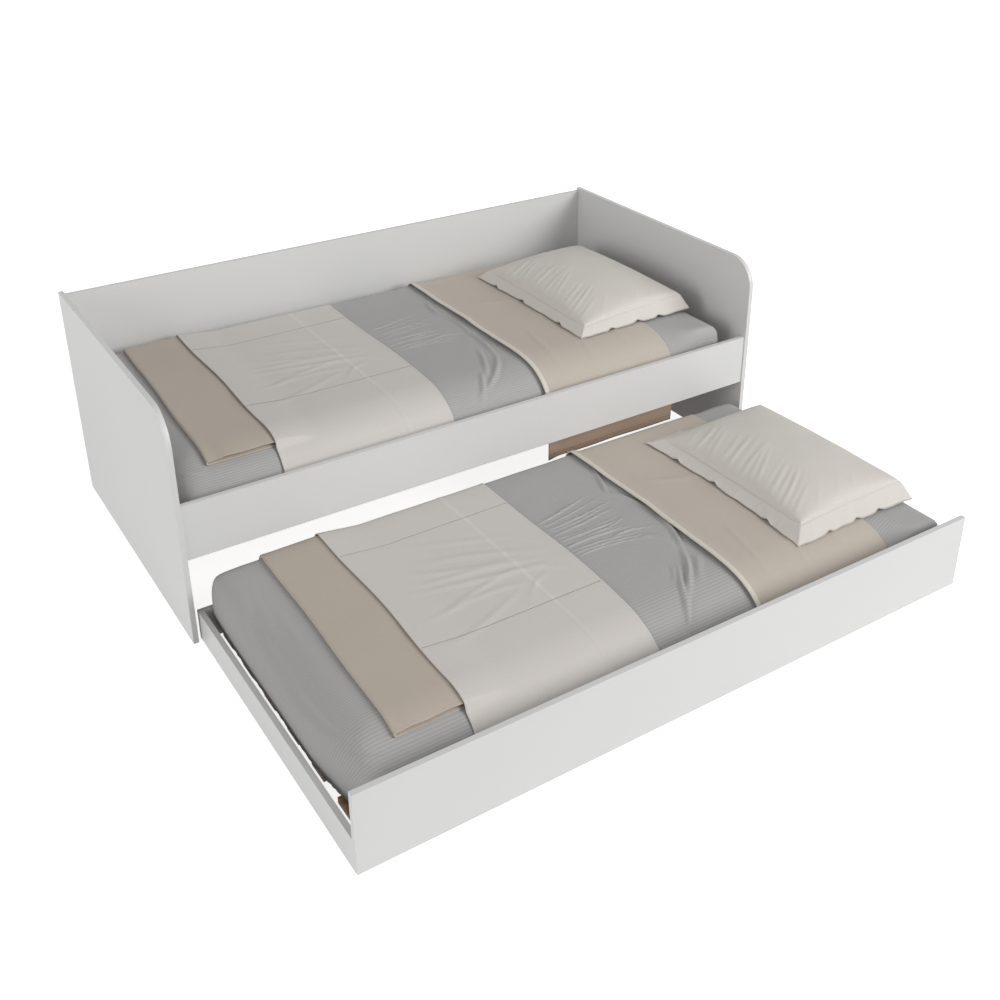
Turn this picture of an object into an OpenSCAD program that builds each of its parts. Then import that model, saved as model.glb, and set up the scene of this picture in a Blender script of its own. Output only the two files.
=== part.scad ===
// Trundle bed: a daybed of flat boards over a low pull-out bed on wheels, both made up with bedding.
// The trundle is drawn pulled out. X runs along the bed, +Y goes to the back and +Z goes up from the floor.

/* [Mattresses] */
// Length of both mattresses
mattress_length = 1840; // [1600:1:2000]
// Depth of both mattresses
mattress_width = 880; // [700:1:1200]
// Thickness of both mattresses
mattress_thickness = 159; // [120:1:170]
// Radius of a mattress's long top edges
mattress_top_radius = 60; // [30:1:70]
// Radius of a mattress's long bottom edges
mattress_bottom_radius = 18; // [5:1:30]
// Space between each end of the trundle mattress and the trundle's side rails
mattress_end_gap = 22.5; // [5:0.5:40]
// Space between the upper mattress and the left end panel
upper_mattress_gap = 3; // [2.5:0.5:30]
// Space between the upper mattress and the boards before and behind it
mattress_side_gap = 30.5; // [8:0.5:60]
// Space between the trundle mattress and the back rail
trundle_mattress_gap = 2.5; // [2.5:0.5:20]

/* [Bed frame] */
// Height of the end panels above the floor
end_height = 695; // [620:1:800]
// Radius of the end panels' front top corners
corner_radius = 95; // [20:1:150]
// Thickness of every board
board = 15; // [15:0.5:19]
// Drop from the end panels' tops to the back panel's top
back_panel_drop = 9; // [0:1:30]
// Underside of the back panel above the floor
back_panel_bottom = 265; // [230:1:300]
// Underside of the front rail above the floor
rail_bottom = 265; // [262:1:300]
// Height of the front rail
rail_height = 165; // [140:1:190]
// Front rail's set-back behind the end panels' front edges
rail_setback = 4; // [0:0.5:10]
// Underside of the rear stretcher above the floor
stretcher_bottom = 45; // [20:1:80]
// Height of the rear stretcher
stretcher_height = 100; // [60:1:130]
// Height of a floor glide
glide_height = 3; // [2:0.5:6]
// Radius of a floor glide
glide_radius = 6.5; // [5:0.5:7]
// Radius of a floor glide's pin
glide_pin_radius = 1.5; // [1:0.1:2.5]
// Length of a floor glide's pin
glide_pin_length = 12; // [8:1:20]
// Distance from an end panel's edges to its glides' centres
glide_inset = 60; // [30:1:120]

/* [Upper slatted base] */
// Height of the upper slats' tops above the floor
upper_slat_top = 317; // [312:1:330]
// Thickness of every slat
slat_thickness = 18; // [14:1:20]
// Number of upper slats
upper_slats = 9; // [7:1:9]
// Width of an upper slat
upper_slat_width = 100; // [60:1:120]
// Space between the upper slats' ends and the boards
upper_slat_margin = 31; // [30:1:40]
// Space between an end panel and the first upper slat
upper_slat_start = 45; // [20:1:70]
// Width of a steel bearer tube
bearer_width = 25; // [20:1:35]
// Height of a steel bearer tube
bearer_height = 32; // [25:1:34]
// Wall of a steel bearer tube
bearer_wall = 1.5; // [1:0.1:3]
// Inset of a bearer tube from the slat ends
bearer_inset = 22; // [10:1:60]
// Sheet steel of the bearer brackets
bracket_sheet = 2.5; // [1.5:0.1:3]
// Reach of a bracket's shelf under the bearer tube
bracket_reach = 28; // [20:1:30]
// Length of a bracket's ears on each side of the tube
bracket_ear = 22; // [16:1:30]

/* [Trundle] */
// Gap between the trundle and each end panel
trundle_side_gap = 10; // [6:0.5:15]
// Depth of the open trundle that stays behind the end panels' front edges
trundle_hold = 15.9; // [8:0.1:18]
// Gap under the trundle's boards
trundle_clearance = 5; // [3:0.5:8]
// Height of the trundle's front panel top above the floor
trundle_front_top = 231; // [215:1:245]
// Height of the trundle's side and back rails
trundle_rail_height = 92; // [80:1:110]
// Height of the trundle slats' tops above the floor
trundle_slat_top = 47; // [45:1:52]
// Number of trundle slats
trundle_slats = 6; // [4:1:6]
// Width of a trundle slat
trundle_slat_width = 68; // [50:1:80]
// Space between the front panel and the foremost trundle slat
trundle_slat_front_margin = 103; // [50:1:120]
// Space between a side rail and the trundle slats' ends
trundle_slat_end_gap = 30; // [5:1:60]
// Width of a cross bearer
cross_bearer_width = 60; // [40:1:80]
// Thickness of a cross bearer
cross_bearer_thickness = 17; // [12:0.5:18]
// Distance from the slats' ends to the outer cross bearers
cross_bearer_inset = 60; // [20:1:100]
// Rubber buffer thickness on the rear stretcher
buffer_thickness = 3; // [2:0.5:6]
// Radius of a rubber buffer
buffer_radius = 9; // [6:0.5:12]
// Space between the buffers and the closed trundle
buffer_gap = 0.1; // [0.1:0.1:5]

/* [Wheels] */
// Radius of a wheel
wheel_radius = 18; // [17:0.5:18.5]
// Width of a wheel's tread
wheel_width = 16; // [12:0.5:20]
// Radius of a wheel's axle
axle_radius = 3; // [2.5:0.1:4]
// Radius of an axle's riveted head
rivet_head_radius = 4.5; // [4.2:0.1:6]
// Thickness of an axle's riveted head
rivet_head_thickness = 1.2; // [0.8:0.1:2]
// Distance from the side rails to the wheels' middles
wheel_inset = 240; // [200:1:400]
// Space between a wheel and the slat nearest to it
wheel_slat_gap = 3; // [2:0.5:10]
// Space between a wheel and its bracket
wheel_clearance = 1; // [0.5:0.1:2]
// Wall of a wheel's hub round the axle
hub_wall = 3; // [2:0.5:4]
// Step of a hub past the tread's side
hub_proud = 0.7; // [0.2:0.1:0.8]
// Rounding of a tread's edges
tread_round = 2.5; // [1:0.1:3]
// Width of sheet round the axle in a bracket's cheek
cheek_wall = 4; // [3:0.5:6]
// Length of a wheel bracket's ears
wheel_bracket_ear = 16; // [12:1:24]
// Space between a wheel bracket and the upper and lower edges it stays within
wheel_bracket_margin = 3; // [1:0.5:4]
// Sheet steel of a wheel bracket
wheel_bracket_sheet = 2; // [1.5:0.1:2.5]

/* [Sheets and covers] */
// Thickness of the fitted sheets
sheet_thickness = 1; // [0.8:0.1:2]
// Width of the fitted sheet's turn-in under a mattress
sheet_turn_width = 90; // [40:1:150]
// Thickness of a coverlet or throw
cover_thickness = 2.4; // [1.5:0.1:3]
// Thickness of the folded foot blanket
blanket_thickness = 9; // [6:0.5:12]
// Distance from the mattress's foot end to the foot blanket
blanket_start = 130; // [80:1:200]
// Distance from the upper mattress's front to its foot blanket's folded front end
upper_blanket_front = 28; // [15:1:150]
// Distance from the trundle mattress's front to its foot blanket's folded front end
trundle_blanket_front = 62; // [15:1:150]
// Distance from the mattress's foot end to the coverlet
coverlet_start = 306; // [250:1:340]
// Width of the coverlet along the bed
coverlet_width = 540; // [450:1:600]
// Distance from the mattress's foot end to the throw
throw_start = 1157; // [950:1:1200]
// Width of the throw along the bed
throw_width = 495; // [400:1:520]
// Height that the covers hang down at the mattress's long sides
cover_hang_height = 90; // [70:1:95]
// Height of the upper throw's front hem above the floor
throw_hem = 190; // [180:1:240]

/* [Pillows] */
// Size of a pillow along the bed, with its flange
pillow_length = 450; // [380:1:480]
// Size of a pillow across the bed, with its flange
pillow_width = 655; // [560:1:700]
// Overhang of the upper pillow past its mattress's head end
upper_pillow_overhang = 8; // [0:1:30]
// Overhang of the trundle pillow past its mattress's head end
trundle_pillow_overhang = 17; // [0:1:20]
// Distance from the upper mattress's front to its pillow
upper_pillow_front = 140; // [60:1:200]
// Distance from the trundle mattress's front to its pillow
trundle_pillow_front = 107; // [60:1:200]
// Height of the pillow's crown
pillow_height = 108; // [80:1:120]
// Thickness of the pillow's flange
flange_thickness = 6; // [4:1:10]
// Width of the pillow's flange
flange_width = 38; // [25:1:50]
// Rounding of the pillow's corners in plan
pillow_corner = 18; // [10:1:30]
// Height of the pillow's widest part above its flange
shoulder_height = 59; // [40:1:70]
// Inset of the pillow's flat crown from the flange's edge
crown_inset = 134; // [100:1:160]

/* [Fittings] */
// Radius of a cam nut
cam_radius = 7.5; // [6:0.5:8]
// Depth of a cam nut
cam_depth = 12; // [10:0.5:13]
// Distance from a board's end to its cam nut's middle
cam_setback = 34; // [24:1:40]
// Radius of a cam bolt's stem
cam_bolt_radius = 3; // [2.5:0.1:3.5]
// Depth of a cam bolt in the board it screws into
cam_bolt_depth = 10; // [8:0.5:11]
// Radius of a wooden dowel
dowel_radius = 4; // [3:0.5:5]
// Length of a wooden dowel in each board
dowel_depth = 10; // [8:0.5:11]
// Radius of a screw's shank
screw_radius = 2; // [1.5:0.1:2.5]
// Radius of a screw's head
screw_head_radius = 4; // [3.5:0.1:5]
// Thickness of a screw's head
screw_head_thickness = 2; // [1.5:0.1:2.5]
// Length of a screw in the board it holds to
screw_grip = 11; // [8:0.5:12]
// Clearance between a fitting and its hole
fit_gap = 0.1; // [0.05:0.01:0.2]
// Running clearance between an axle and its wheel
axle_gap = 0.08; // [0.02:0.01:0.1]
// Clearance between layers of cloth, and between cloth and boards
cloth_gap = 0.4; // [0.3:0.1:1]

/* [Hidden] */
$fn = 48;

board_colour = "#efefee";
pine_colour = "#c9a77a";
steel_colour = "#9a9ea3";
zinc_colour = "#b9bcc0";
nylon_colour = "#e8e8e4";
rubber_colour = "#4a4a4c";
sheet_colour = "#9b9b9c";
ticking_colour = "#dcdcd8";
blanket_colour = "#b9aca2";
coverlet_colour = "#d3ccc4";
throw_colour = "#c6b8ac";
pillow_colour = "#d6d0c8";

// Cuts run past a face by this much
overrun = 1;

// Bed frame, sized by the trundle's length and by the upper mattress's depth
bed_length = mattress_length + 2 * (mattress_end_gap + board + trundle_side_gap + board);
bed_depth = rail_setback + board + mattress_side_gap + mattress_width + mattress_side_gap + board;
inner_left = board;
inner_right = bed_length - board;
rail_back = rail_setback + board;
back_panel_front = bed_depth - board;
back_panel_height = end_height - back_panel_drop - back_panel_bottom;

// Upper slatted base
upper_slat_bottom = upper_slat_top - slat_thickness;
upper_slat_front = rail_back + upper_slat_margin;
upper_slat_length = back_panel_front - upper_slat_margin - upper_slat_front;
upper_slat_pitch = (inner_right - inner_left - 2 * upper_slat_start - upper_slat_width)
    / (upper_slats - 1);
bearer_bottom = upper_slat_bottom - bearer_height;
bearer_ys = [
    upper_slat_front + bearer_inset,
    upper_slat_front + upper_slat_length - bearer_inset - bearer_width
];
bearer_end_gap = bracket_sheet + fit_gap;
bracket_cheek_height = 0.6 * bearer_height;

// Distance from a board to the axle of the wheel fixed to it
wheel_reach = wheel_bracket_sheet + wheel_clearance + wheel_radius;

// Trundle, pulled out; closed, its front panel is flush with the front rail
trundle_travel = back_panel_front - buffer_thickness - buffer_gap - trundle_hold;
trundle_left = inner_left + trundle_side_gap;
trundle_right = inner_right - trundle_side_gap;
trundle_inner_left = trundle_left + board;
trundle_inner_right = trundle_right - board;
trundle_front = rail_setback - trundle_travel;
trundle_back = trundle_hold;
trundle_inner_front = trundle_front + board;
trundle_inner_back = trundle_back - board;
trundle_slat_bottom = trundle_slat_top - slat_thickness;
trundle_slat_left = trundle_inner_left + trundle_slat_end_gap;
trundle_slat_right = trundle_inner_right - trundle_slat_end_gap;
cross_bearer_bottom = trundle_slat_bottom - cross_bearer_thickness;
trundle_slat_back_margin = wheel_reach + wheel_radius + wheel_slat_gap;
trundle_slat_pitch = (trundle_inner_back - trundle_inner_front - trundle_slat_front_margin
    - trundle_slat_back_margin - trundle_slat_width) / (trundle_slats - 1);
cross_bearer_xs = [
    trundle_slat_left + cross_bearer_inset,
    (bed_length - cross_bearer_width) / 2,
    trundle_slat_right - cross_bearer_inset - cross_bearer_width
];

// Wheels
wheel_xs = [trundle_inner_left + wheel_inset, trundle_inner_right - wheel_inset];
wheel_ys = [trundle_inner_front + wheel_reach, trundle_inner_back - wheel_reach];
hub_radius = axle_radius + hub_wall;
cheek_inner = wheel_width / 2 + wheel_clearance;
cheek_outer = cheek_inner + wheel_bracket_sheet;
cheek_nose = axle_radius + cheek_wall;
wheel_bracket_low = trundle_clearance + wheel_bracket_margin;
wheel_bracket_high = trundle_slat_top - wheel_bracket_margin;

// Mattresses and covers
sheet_grow = cloth_gap / 2 + sheet_thickness;
cover_inner = sheet_grow + cloth_gap;
cover_outer = cover_inner + cover_thickness;
upper_bed = [
    inner_left + upper_mattress_gap,
    rail_back + mattress_side_gap,
    upper_slat_top + sheet_grow
];
trundle_bed = [
    trundle_inner_left + mattress_end_gap,
    trundle_inner_back - trundle_mattress_gap - mattress_width,
    trundle_slat_top + sheet_grow
];
cover_hem = mattress_thickness - cover_hang_height;
blanket_width = coverlet_start - blanket_start - cloth_gap;

// Fittings
screw_point = 1.5;
pocket_gap = 0.3;
cam_bolt_in_nut = 5;
cam_bolt_length = cam_bolt_depth + cam_setback - cam_radius + cam_bolt_in_nut;

function heading(way) =
    way == "+x" ? [1, 0, 0] : way == "-x" ? [-1, 0, 0] :
    way == "+y" ? [0, 1, 0] : way == "-y" ? [0, -1, 0] :
    way == "+z" ? [0, 0, 1] : [0, 0, -1];

// A joint is [middle of the joint face, way into the board that holds the nut, way its nut is drilled]
function end_joints(y, z, height, shares) = [
    for (share = shares)
        for (side = [[inner_left, "+x"], [inner_right, "-x"]])
            [[side[0], y, z + share * height], side[1], "-y"]
];

rail_y = rail_setback + board / 2;
back_y = bed_depth - board / 2;
rail_cams = end_joints(rail_y, rail_bottom, rail_height, [0.25, 0.75]);
rail_dowels = end_joints(rail_y, rail_bottom, rail_height, [0.5]);
back_panel_cams = end_joints(back_y, back_panel_bottom, back_panel_height, [0.15, 0.5, 0.85]);
back_panel_dowels = end_joints(back_y, back_panel_bottom, back_panel_height, [0.3, 0.7]);
stretcher_cams = end_joints(back_y, stretcher_bottom, stretcher_height, [0.3, 0.7]);
frame_cams = concat(rail_cams, back_panel_cams, stretcher_cams);
frame_dowels = concat(rail_dowels, back_panel_dowels);

trundle_rail_middle = trundle_clearance + trundle_rail_height / 2;
trundle_dowel_offset = 0.3 * trundle_rail_height;
trundle_front_joints = [
    [[trundle_left + board / 2, trundle_inner_front, trundle_rail_middle], "+y", "-x"],
    [[trundle_right - board / 2, trundle_inner_front, trundle_rail_middle], "+y", "+x"]
];
trundle_back_joints = [
    [[trundle_inner_left, trundle_back - board / 2, trundle_rail_middle], "+x", "-y"],
    [[trundle_inner_right, trundle_back - board / 2, trundle_rail_middle], "-x", "-y"]
];
trundle_joints = concat(trundle_front_joints, trundle_back_joints);
function shifted(joints, offset) = [for (joint = joints) [joint[0] + offset, joint[1], joint[2]]];
trundle_dowels = concat(shifted(trundle_joints, [0, 0, -trundle_dowel_offset]),
    shifted(trundle_joints, [0, 0, trundle_dowel_offset]));
bearer_dowel_z = cross_bearer_bottom + cross_bearer_thickness / 2;
bearer_dowels = [
    for (x = cross_bearer_xs)
        for (across = [0.25, 0.75])
            for (end = [[trundle_inner_front, "+y"], [trundle_inner_back, "-y"]])
                [[x + across * cross_bearer_width, end[0], bearer_dowel_z], end[1], "-x"]
];

// Everything is drawn from the frame's left front lower corner, then moved so that the origin is the
// middle of the floor that the open bed covers
module over_origin() {
    translate([-bed_length / 2, -(bed_depth + trundle_front) / 2, 0])
        children();
}

// Turns a fitting that points along +Z
module facing(way) {
    turn = way == "+x" ? [0, 90, 0] : way == "-x" ? [0, -90, 0] :
        way == "+y" ? [-90, 0, 0] : way == "-y" ? [90, 0, 0] :
        way == "+z" ? [0, 0, 0] : [180, 0, 0];
    rotate(turn) children();
}

// Extrudes an outline drawn in Y and Z along X
module along_x(length) {
    rotate([90, 0, 90]) linear_extrude(height = length) children();
}

module box(from, to) {
    translate(from) cube(to - from);
}

// Fittings that join boards

module cam_nut(joint, grow) {
    face = joint[0] + cam_setback * heading(joint[1]) - board / 2 * heading(joint[2]);
    translate(face) facing(joint[2]) cylinder(r = cam_radius + grow, h = cam_depth + grow);
}

module cam_bolt(joint, grow) {
    translate(joint[0] - (cam_bolt_depth + grow) * heading(joint[1]))
        facing(joint[1])
            cylinder(r = cam_bolt_radius + grow, h = cam_bolt_length + 2 * grow);
}

module dowel(joint, grow) {
    translate(joint[0] - (dowel_depth + grow) * heading(joint[1]))
        facing(joint[1])
            cylinder(r = dowel_radius + grow, h = 2 * (dowel_depth + grow));
}

module cam_nuts(joints) {
    for (joint = joints)
        difference() {
            cam_nut(joint, 0);
            cam_bolt(joint, fit_gap);
        }
}

module joint_holes(cams, dowels) {
    for (joint = cams) {
        cam_nut(joint, fit_gap);
        cam_bolt(joint, fit_gap);
    }
    for (joint = dowels)
        dowel(joint, fit_gap);
}

// A screw stands on its head's underside: the shank goes the way given, the head the other way
module screw(at, way, length, grow = 0) {
    translate(at) facing(way) {
        translate([0, 0, -screw_head_thickness - grow])
            cylinder(r = screw_head_radius + grow, h = screw_head_thickness + grow);
        cylinder(r = screw_radius + grow, h = length - screw_point + grow);
        translate([0, 0, length - screw_point + grow])
            cylinder(r1 = screw_radius + grow, r2 = screw_radius / 2, h = screw_point);
    }
}

// Straight hole for a screw's shank
module screw_hole(at, way, length) {
    translate(at) facing(way)
        translate([0, 0, -overrun])
            cylinder(r = screw_radius + fit_gap, h = length + overrun + fit_gap);
}

// Bed frame

// Side view of an end panel, with its rounded front top corner
module end_panel_outline() {
    difference() {
        translate([0, glide_height]) square([bed_depth, end_height - glide_height]);
        translate([0, end_height - corner_radius])
            difference() {
                translate([-overrun, 0]) square(corner_radius + overrun);
                translate([corner_radius, 0]) circle(r = corner_radius, $fn = 96);
            }
        translate([-overrun, end_height])
            square([corner_radius, overrun]);
    }
}

glide_ys = [glide_inset, bed_depth - glide_inset];

module glide(x, y, grow) {
    translate([x, y, 0]) {
        if (grow == 0) cylinder(r = glide_radius, h = glide_height);
        cylinder(r = glide_pin_radius + grow, h = glide_height + glide_pin_length + grow);
    }
}

module end_panel(x, way) {
    color(board_colour) over_origin()
        difference() {
            translate([x, 0, 0]) along_x(board) end_panel_outline();
            joint_holes([for (joint = frame_cams) if (joint[1] == way) joint],
                [for (joint = frame_dowels) if (joint[1] == way) joint]);
            for (y = glide_ys)
                glide(x + board / 2, y, fit_gap);
            for (place = bracket_screws)
                if (place[1] != way)
                    screw_hole(place[0], place[1], bracket_sheet + screw_grip);
        }
}

module left_end_panel() {
    end_panel(0, "+x");
}

module right_end_panel() {
    end_panel(inner_right, "-x");
}

// A board between the end panels
module cross_board(y, z, height, cams, dowels) {
    color(board_colour) over_origin()
        difference() {
            box([inner_left, y, z], [inner_right, y + board, z + height]);
            joint_holes(cams, dowels);
        }
}

module back_panel() {
    cross_board(back_panel_front, back_panel_bottom, back_panel_height, back_panel_cams,
        back_panel_dowels);
}

module front_rail() {
    cross_board(rail_setback, rail_bottom, rail_height, rail_cams, rail_dowels);
}

module rear_stretcher() {
    cross_board(back_panel_front, stretcher_bottom, stretcher_height, stretcher_cams, []);
}

module floor_glides() {
    color(nylon_colour) over_origin()
        for (x = [board / 2, bed_length - board / 2])
            for (y = glide_ys)
                glide(x, y, 0);
}

module frame_cam_nuts() {
    color(zinc_colour) over_origin() cam_nuts(frame_cams);
}

module frame_cam_bolts() {
    color(steel_colour) over_origin()
        for (joint = frame_cams)
            cam_bolt(joint, 0);
}

module frame_dowel_pins() {
    color(pine_colour) over_origin()
        for (joint = frame_dowels)
            dowel(joint, 0);
}

// Rubber buffers that stop the closing trundle against the rear stretcher
module stop_buffers() {
    color(rubber_colour) over_origin()
        for (x = wheel_xs)
            translate([x, back_panel_front - buffer_thickness,
                (stretcher_bottom + trundle_clearance + trundle_rail_height) / 2])
                facing("+y")
                    cylinder(r = buffer_radius, h = buffer_thickness);
}

// Upper slatted base

module bearer_tube(y) {
    from = [inner_left + bearer_end_gap, y, bearer_bottom];
    to = [inner_right - bearer_end_gap, y + bearer_width, upper_slat_bottom];
    wall = bearer_wall * [0, 1, 1];
    color(steel_colour) over_origin()
        difference() {
            box(from, to);
            box(from + wall - [overrun, 0, 0], to - wall + [overrun, 0, 0]);
            for (slat = [1:upper_slats])
                screw_hole(upper_slat_screw_at(slat, y), "-z", slat_thickness + bearer_wall);
        }
}

module front_bearer_tube() {
    bearer_tube(bearer_ys[0]);
}

module back_bearer_tube() {
    bearer_tube(bearer_ys[1]);
}

// A bracket's screws: [place on its plate, way into the end panel]
bracket_screw_z = bearer_bottom + bearer_height / 2;
bracket_screws = [
    for (y = bearer_ys)
        for (ear_y = [y - bracket_ear / 2, y + bearer_width + bracket_ear / 2])
            for (end = [[inner_left + bracket_sheet, "-x"], [inner_right - bracket_sheet, "+x"]])
                [[end[0], ear_y, bracket_screw_z], end[1]]
];

// Folded sheet steel that carries one end of a bearer tube, drawn for the left end
module bearer_bracket(y) {
    cheek_gap = bracket_sheet + fit_gap;
    box([inner_left, y - bracket_ear, bearer_bottom - bracket_sheet],
        [inner_left + bracket_sheet, y + bearer_width + bracket_ear, upper_slat_bottom - overrun]);
    box([inner_left, y - cheek_gap, bearer_bottom - bracket_sheet],
        [inner_left + bracket_reach, y + bearer_width + cheek_gap, bearer_bottom]);
    for (cheek_y = [y - cheek_gap, y + bearer_width + fit_gap])
        box([inner_left, cheek_y, bearer_bottom - bracket_sheet],
            [inner_left + bracket_reach, cheek_y + bracket_sheet, bearer_bottom + bracket_cheek_height]);
}

module bearer_brackets() {
    color(zinc_colour) over_origin()
        difference() {
            for (y = bearer_ys) {
                bearer_bracket(y);
                translate([bed_length, 0, 0]) mirror([1, 0, 0]) bearer_bracket(y);
            }
            for (place = bracket_screws)
                screw_hole(place[0], place[1], bracket_sheet);
        }
}

module bearer_bracket_screws() {
    color(steel_colour) over_origin()
        for (place = bracket_screws)
            screw(place[0], place[1], bracket_sheet + screw_grip);
}

function upper_slat_x(slat) = inner_left + upper_slat_start + (slat - 1) * upper_slat_pitch;

// Seat of a slat screw's head, sunk just below the slat's top
function upper_slat_screw_at(slat, bearer_y) = [
    upper_slat_x(slat) + upper_slat_width / 2,
    bearer_y + bearer_width / 2,
    upper_slat_top - screw_head_thickness - pocket_gap
];

module head_pocket(at) {
    translate(at)
        cylinder(r = screw_head_radius + pocket_gap, h = screw_head_thickness + pocket_gap + overrun);
}

module upper_slat(slat) {
    from = [upper_slat_x(slat), upper_slat_front, upper_slat_bottom];
    color(pine_colour) over_origin()
        difference() {
            box(from, from + [upper_slat_width, upper_slat_length, slat_thickness]);
            for (y = bearer_ys) {
                head_pocket(upper_slat_screw_at(slat, y));
                screw_hole(upper_slat_screw_at(slat, y), "-z", slat_thickness);
            }
        }
}

module upper_slat_screws() {
    color(steel_colour) over_origin()
        for (slat = [1:upper_slats])
            for (y = bearer_ys)
                screw(upper_slat_screw_at(slat, y), "-z", slat_thickness + bearer_wall + screw_point);
}

// Trundle box

module trundle_front_panel() {
    color(board_colour) over_origin()
        difference() {
            box([trundle_left, trundle_front, trundle_clearance],
                [trundle_right, trundle_inner_front, trundle_front_top]);
            joint_holes(trundle_front_joints, concat(trundle_dowels, bearer_dowels));
            for (place = wheel_screws)
                screw_hole(place[0], place[1], wheel_bracket_sheet + screw_grip);
        }
}

module trundle_side_rail(x) {
    color(board_colour) over_origin()
        difference() {
            box([x, trundle_inner_front, trundle_clearance],
                [x + board, trundle_back, trundle_clearance + trundle_rail_height]);
            joint_holes(trundle_joints, trundle_dowels);
        }
}

module trundle_left_rail() {
    trundle_side_rail(trundle_left);
}

module trundle_right_rail() {
    trundle_side_rail(trundle_inner_right);
}

module trundle_back_rail() {
    color(board_colour) over_origin()
        difference() {
            box([trundle_inner_left, trundle_inner_back, trundle_clearance],
                [trundle_inner_right, trundle_back, trundle_clearance + trundle_rail_height]);
            joint_holes(trundle_back_joints, concat(trundle_dowels, bearer_dowels));
            for (place = wheel_screws)
                screw_hole(place[0], place[1], wheel_bracket_sheet + screw_grip);
        }
}

module trundle_cam_nuts() {
    color(zinc_colour) over_origin() cam_nuts(trundle_joints);
}

module trundle_cam_bolts() {
    color(steel_colour) over_origin()
        for (joint = trundle_joints)
            cam_bolt(joint, 0);
}

module trundle_dowel_pins() {
    color(pine_colour) over_origin()
        for (joint = concat(trundle_dowels, bearer_dowels))
            dowel(joint, 0);
}

function trundle_slat_y(slat) = trundle_inner_front + trundle_slat_front_margin
    + (slat - 1) * trundle_slat_pitch;

function trundle_slat_screw_at(slat, bearer_x) = [
    bearer_x + cross_bearer_width / 2,
    trundle_slat_y(slat) + trundle_slat_width / 2,
    trundle_slat_top - screw_head_thickness - pocket_gap
];

module cross_bearer(x) {
    color(pine_colour) over_origin()
        difference() {
            box([x, trundle_inner_front, cross_bearer_bottom],
                [x + cross_bearer_width, trundle_inner_back, trundle_slat_bottom]);
            joint_holes([], bearer_dowels);
            for (slat = [1:trundle_slats])
                screw_hole(trundle_slat_screw_at(slat, x), "-z", slat_thickness + screw_grip);
        }
}

module left_cross_bearer() {
    cross_bearer(cross_bearer_xs[0]);
}

module middle_cross_bearer() {
    cross_bearer(cross_bearer_xs[1]);
}

module right_cross_bearer() {
    cross_bearer(cross_bearer_xs[2]);
}

module trundle_slat(slat) {
    from = [trundle_slat_left, trundle_slat_y(slat), trundle_slat_bottom];
    color(pine_colour) over_origin()
        difference() {
            box(from, [trundle_slat_right, from[1] + trundle_slat_width, trundle_slat_top]);
            for (x = cross_bearer_xs) {
                head_pocket(trundle_slat_screw_at(slat, x));
                screw_hole(trundle_slat_screw_at(slat, x), "-z", slat_thickness);
            }
        }
}

module trundle_slat_screws() {
    color(steel_colour) over_origin()
        for (slat = [1:trundle_slats])
            for (x = cross_bearer_xs)
                screw(trundle_slat_screw_at(slat, x), "-z", slat_thickness + screw_grip);
}

// Wheels

// Puts a bracket or wheel, drawn round its axle with its plate towards -Y, at the front or the back
module at_wheel(x, end) {
    translate([x, wheel_ys[end], wheel_radius])
        mirror([0, end, 0])
            children();
}

wheel_screw_x = cheek_outer + wheel_bracket_ear / 2;
wheel_screw_z = (wheel_bracket_low + wheel_bracket_high) / 2;
// A wheel bracket's screws: [place on its plate, way into the board]
wheel_screws = [
    for (x = wheel_xs)
        for (side = [-wheel_screw_x, wheel_screw_x])
            for (end = [[trundle_inner_front + wheel_bracket_sheet, "-y"],
                [trundle_inner_back - wheel_bracket_sheet, "+y"]])
                [[x + side, end[0], wheel_screw_z], end[1]]
];

module wheel_bracket() {
    low = wheel_bracket_low - wheel_radius;
    high = wheel_bracket_high - wheel_radius;
    plate_x = cheek_outer + wheel_bracket_ear;
    box([-plate_x, -wheel_reach, low], [plate_x, wheel_bracket_sheet - wheel_reach, high]);
    for (x = [-cheek_outer, cheek_inner])
        translate([x, 0, 0])
            difference() {
                along_x(wheel_bracket_sheet) {
                    polygon([[-wheel_reach, low], [0, -cheek_nose], [0, cheek_nose], [-wheel_reach, high]]);
                    circle(r = cheek_nose);
                }
                translate([-overrun, 0, 0]) facing("+x")
                    cylinder(r = axle_radius + fit_gap, h = wheel_bracket_sheet + 2 * overrun);
            }
}

module wheel_brackets() {
    color(zinc_colour) over_origin()
        difference() {
            for (x = wheel_xs)
                for (end = [0, 1])
                    at_wheel(x, end) wheel_bracket();
            for (place = wheel_screws)
                screw_hole(place[0], place[1], wheel_bracket_sheet);
        }
}

module wheel_bracket_screws() {
    color(steel_colour) over_origin()
        for (place = wheel_screws)
            screw(place[0], place[1], wheel_bracket_sheet + screw_grip);
}

module wheel_axles() {
    color(steel_colour) over_origin()
        for (x = wheel_xs)
            for (end = [0, 1])
                at_wheel(x, end) facing("+x")
                    for (side = [0, 1])
                        mirror([0, 0, side]) {
                            cylinder(r = axle_radius, h = cheek_outer + fit_gap);
                            translate([0, 0, cheek_outer + fit_gap])
                                cylinder(r = rivet_head_radius, h = rivet_head_thickness);
                        }
}

module wheel(x, end) {
    tread = wheel_width / 2 - tread_round;
    color(rubber_colour) over_origin()
        at_wheel(x, end) facing("+x")
            difference() {
                rotate_extrude($fn = 96) {
                    translate([0, -wheel_width / 2]) square([wheel_radius - tread_round, wheel_width]);
                    translate([0, -tread]) square([wheel_radius, 2 * tread]);
                    for (side = [-tread, tread])
                        translate([wheel_radius - tread_round, side]) circle(r = tread_round);
                    translate([0, -wheel_width / 2 - hub_proud])
                        square([hub_radius, wheel_width + 2 * hub_proud]);
                }
                cylinder(r = axle_radius + axle_gap, h = 2 * wheel_width, center = true);
            }
}

module left_front_wheel() {
    wheel(wheel_xs[0], 0);
}

module right_front_wheel() {
    wheel(wheel_xs[1], 0);
}

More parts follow.
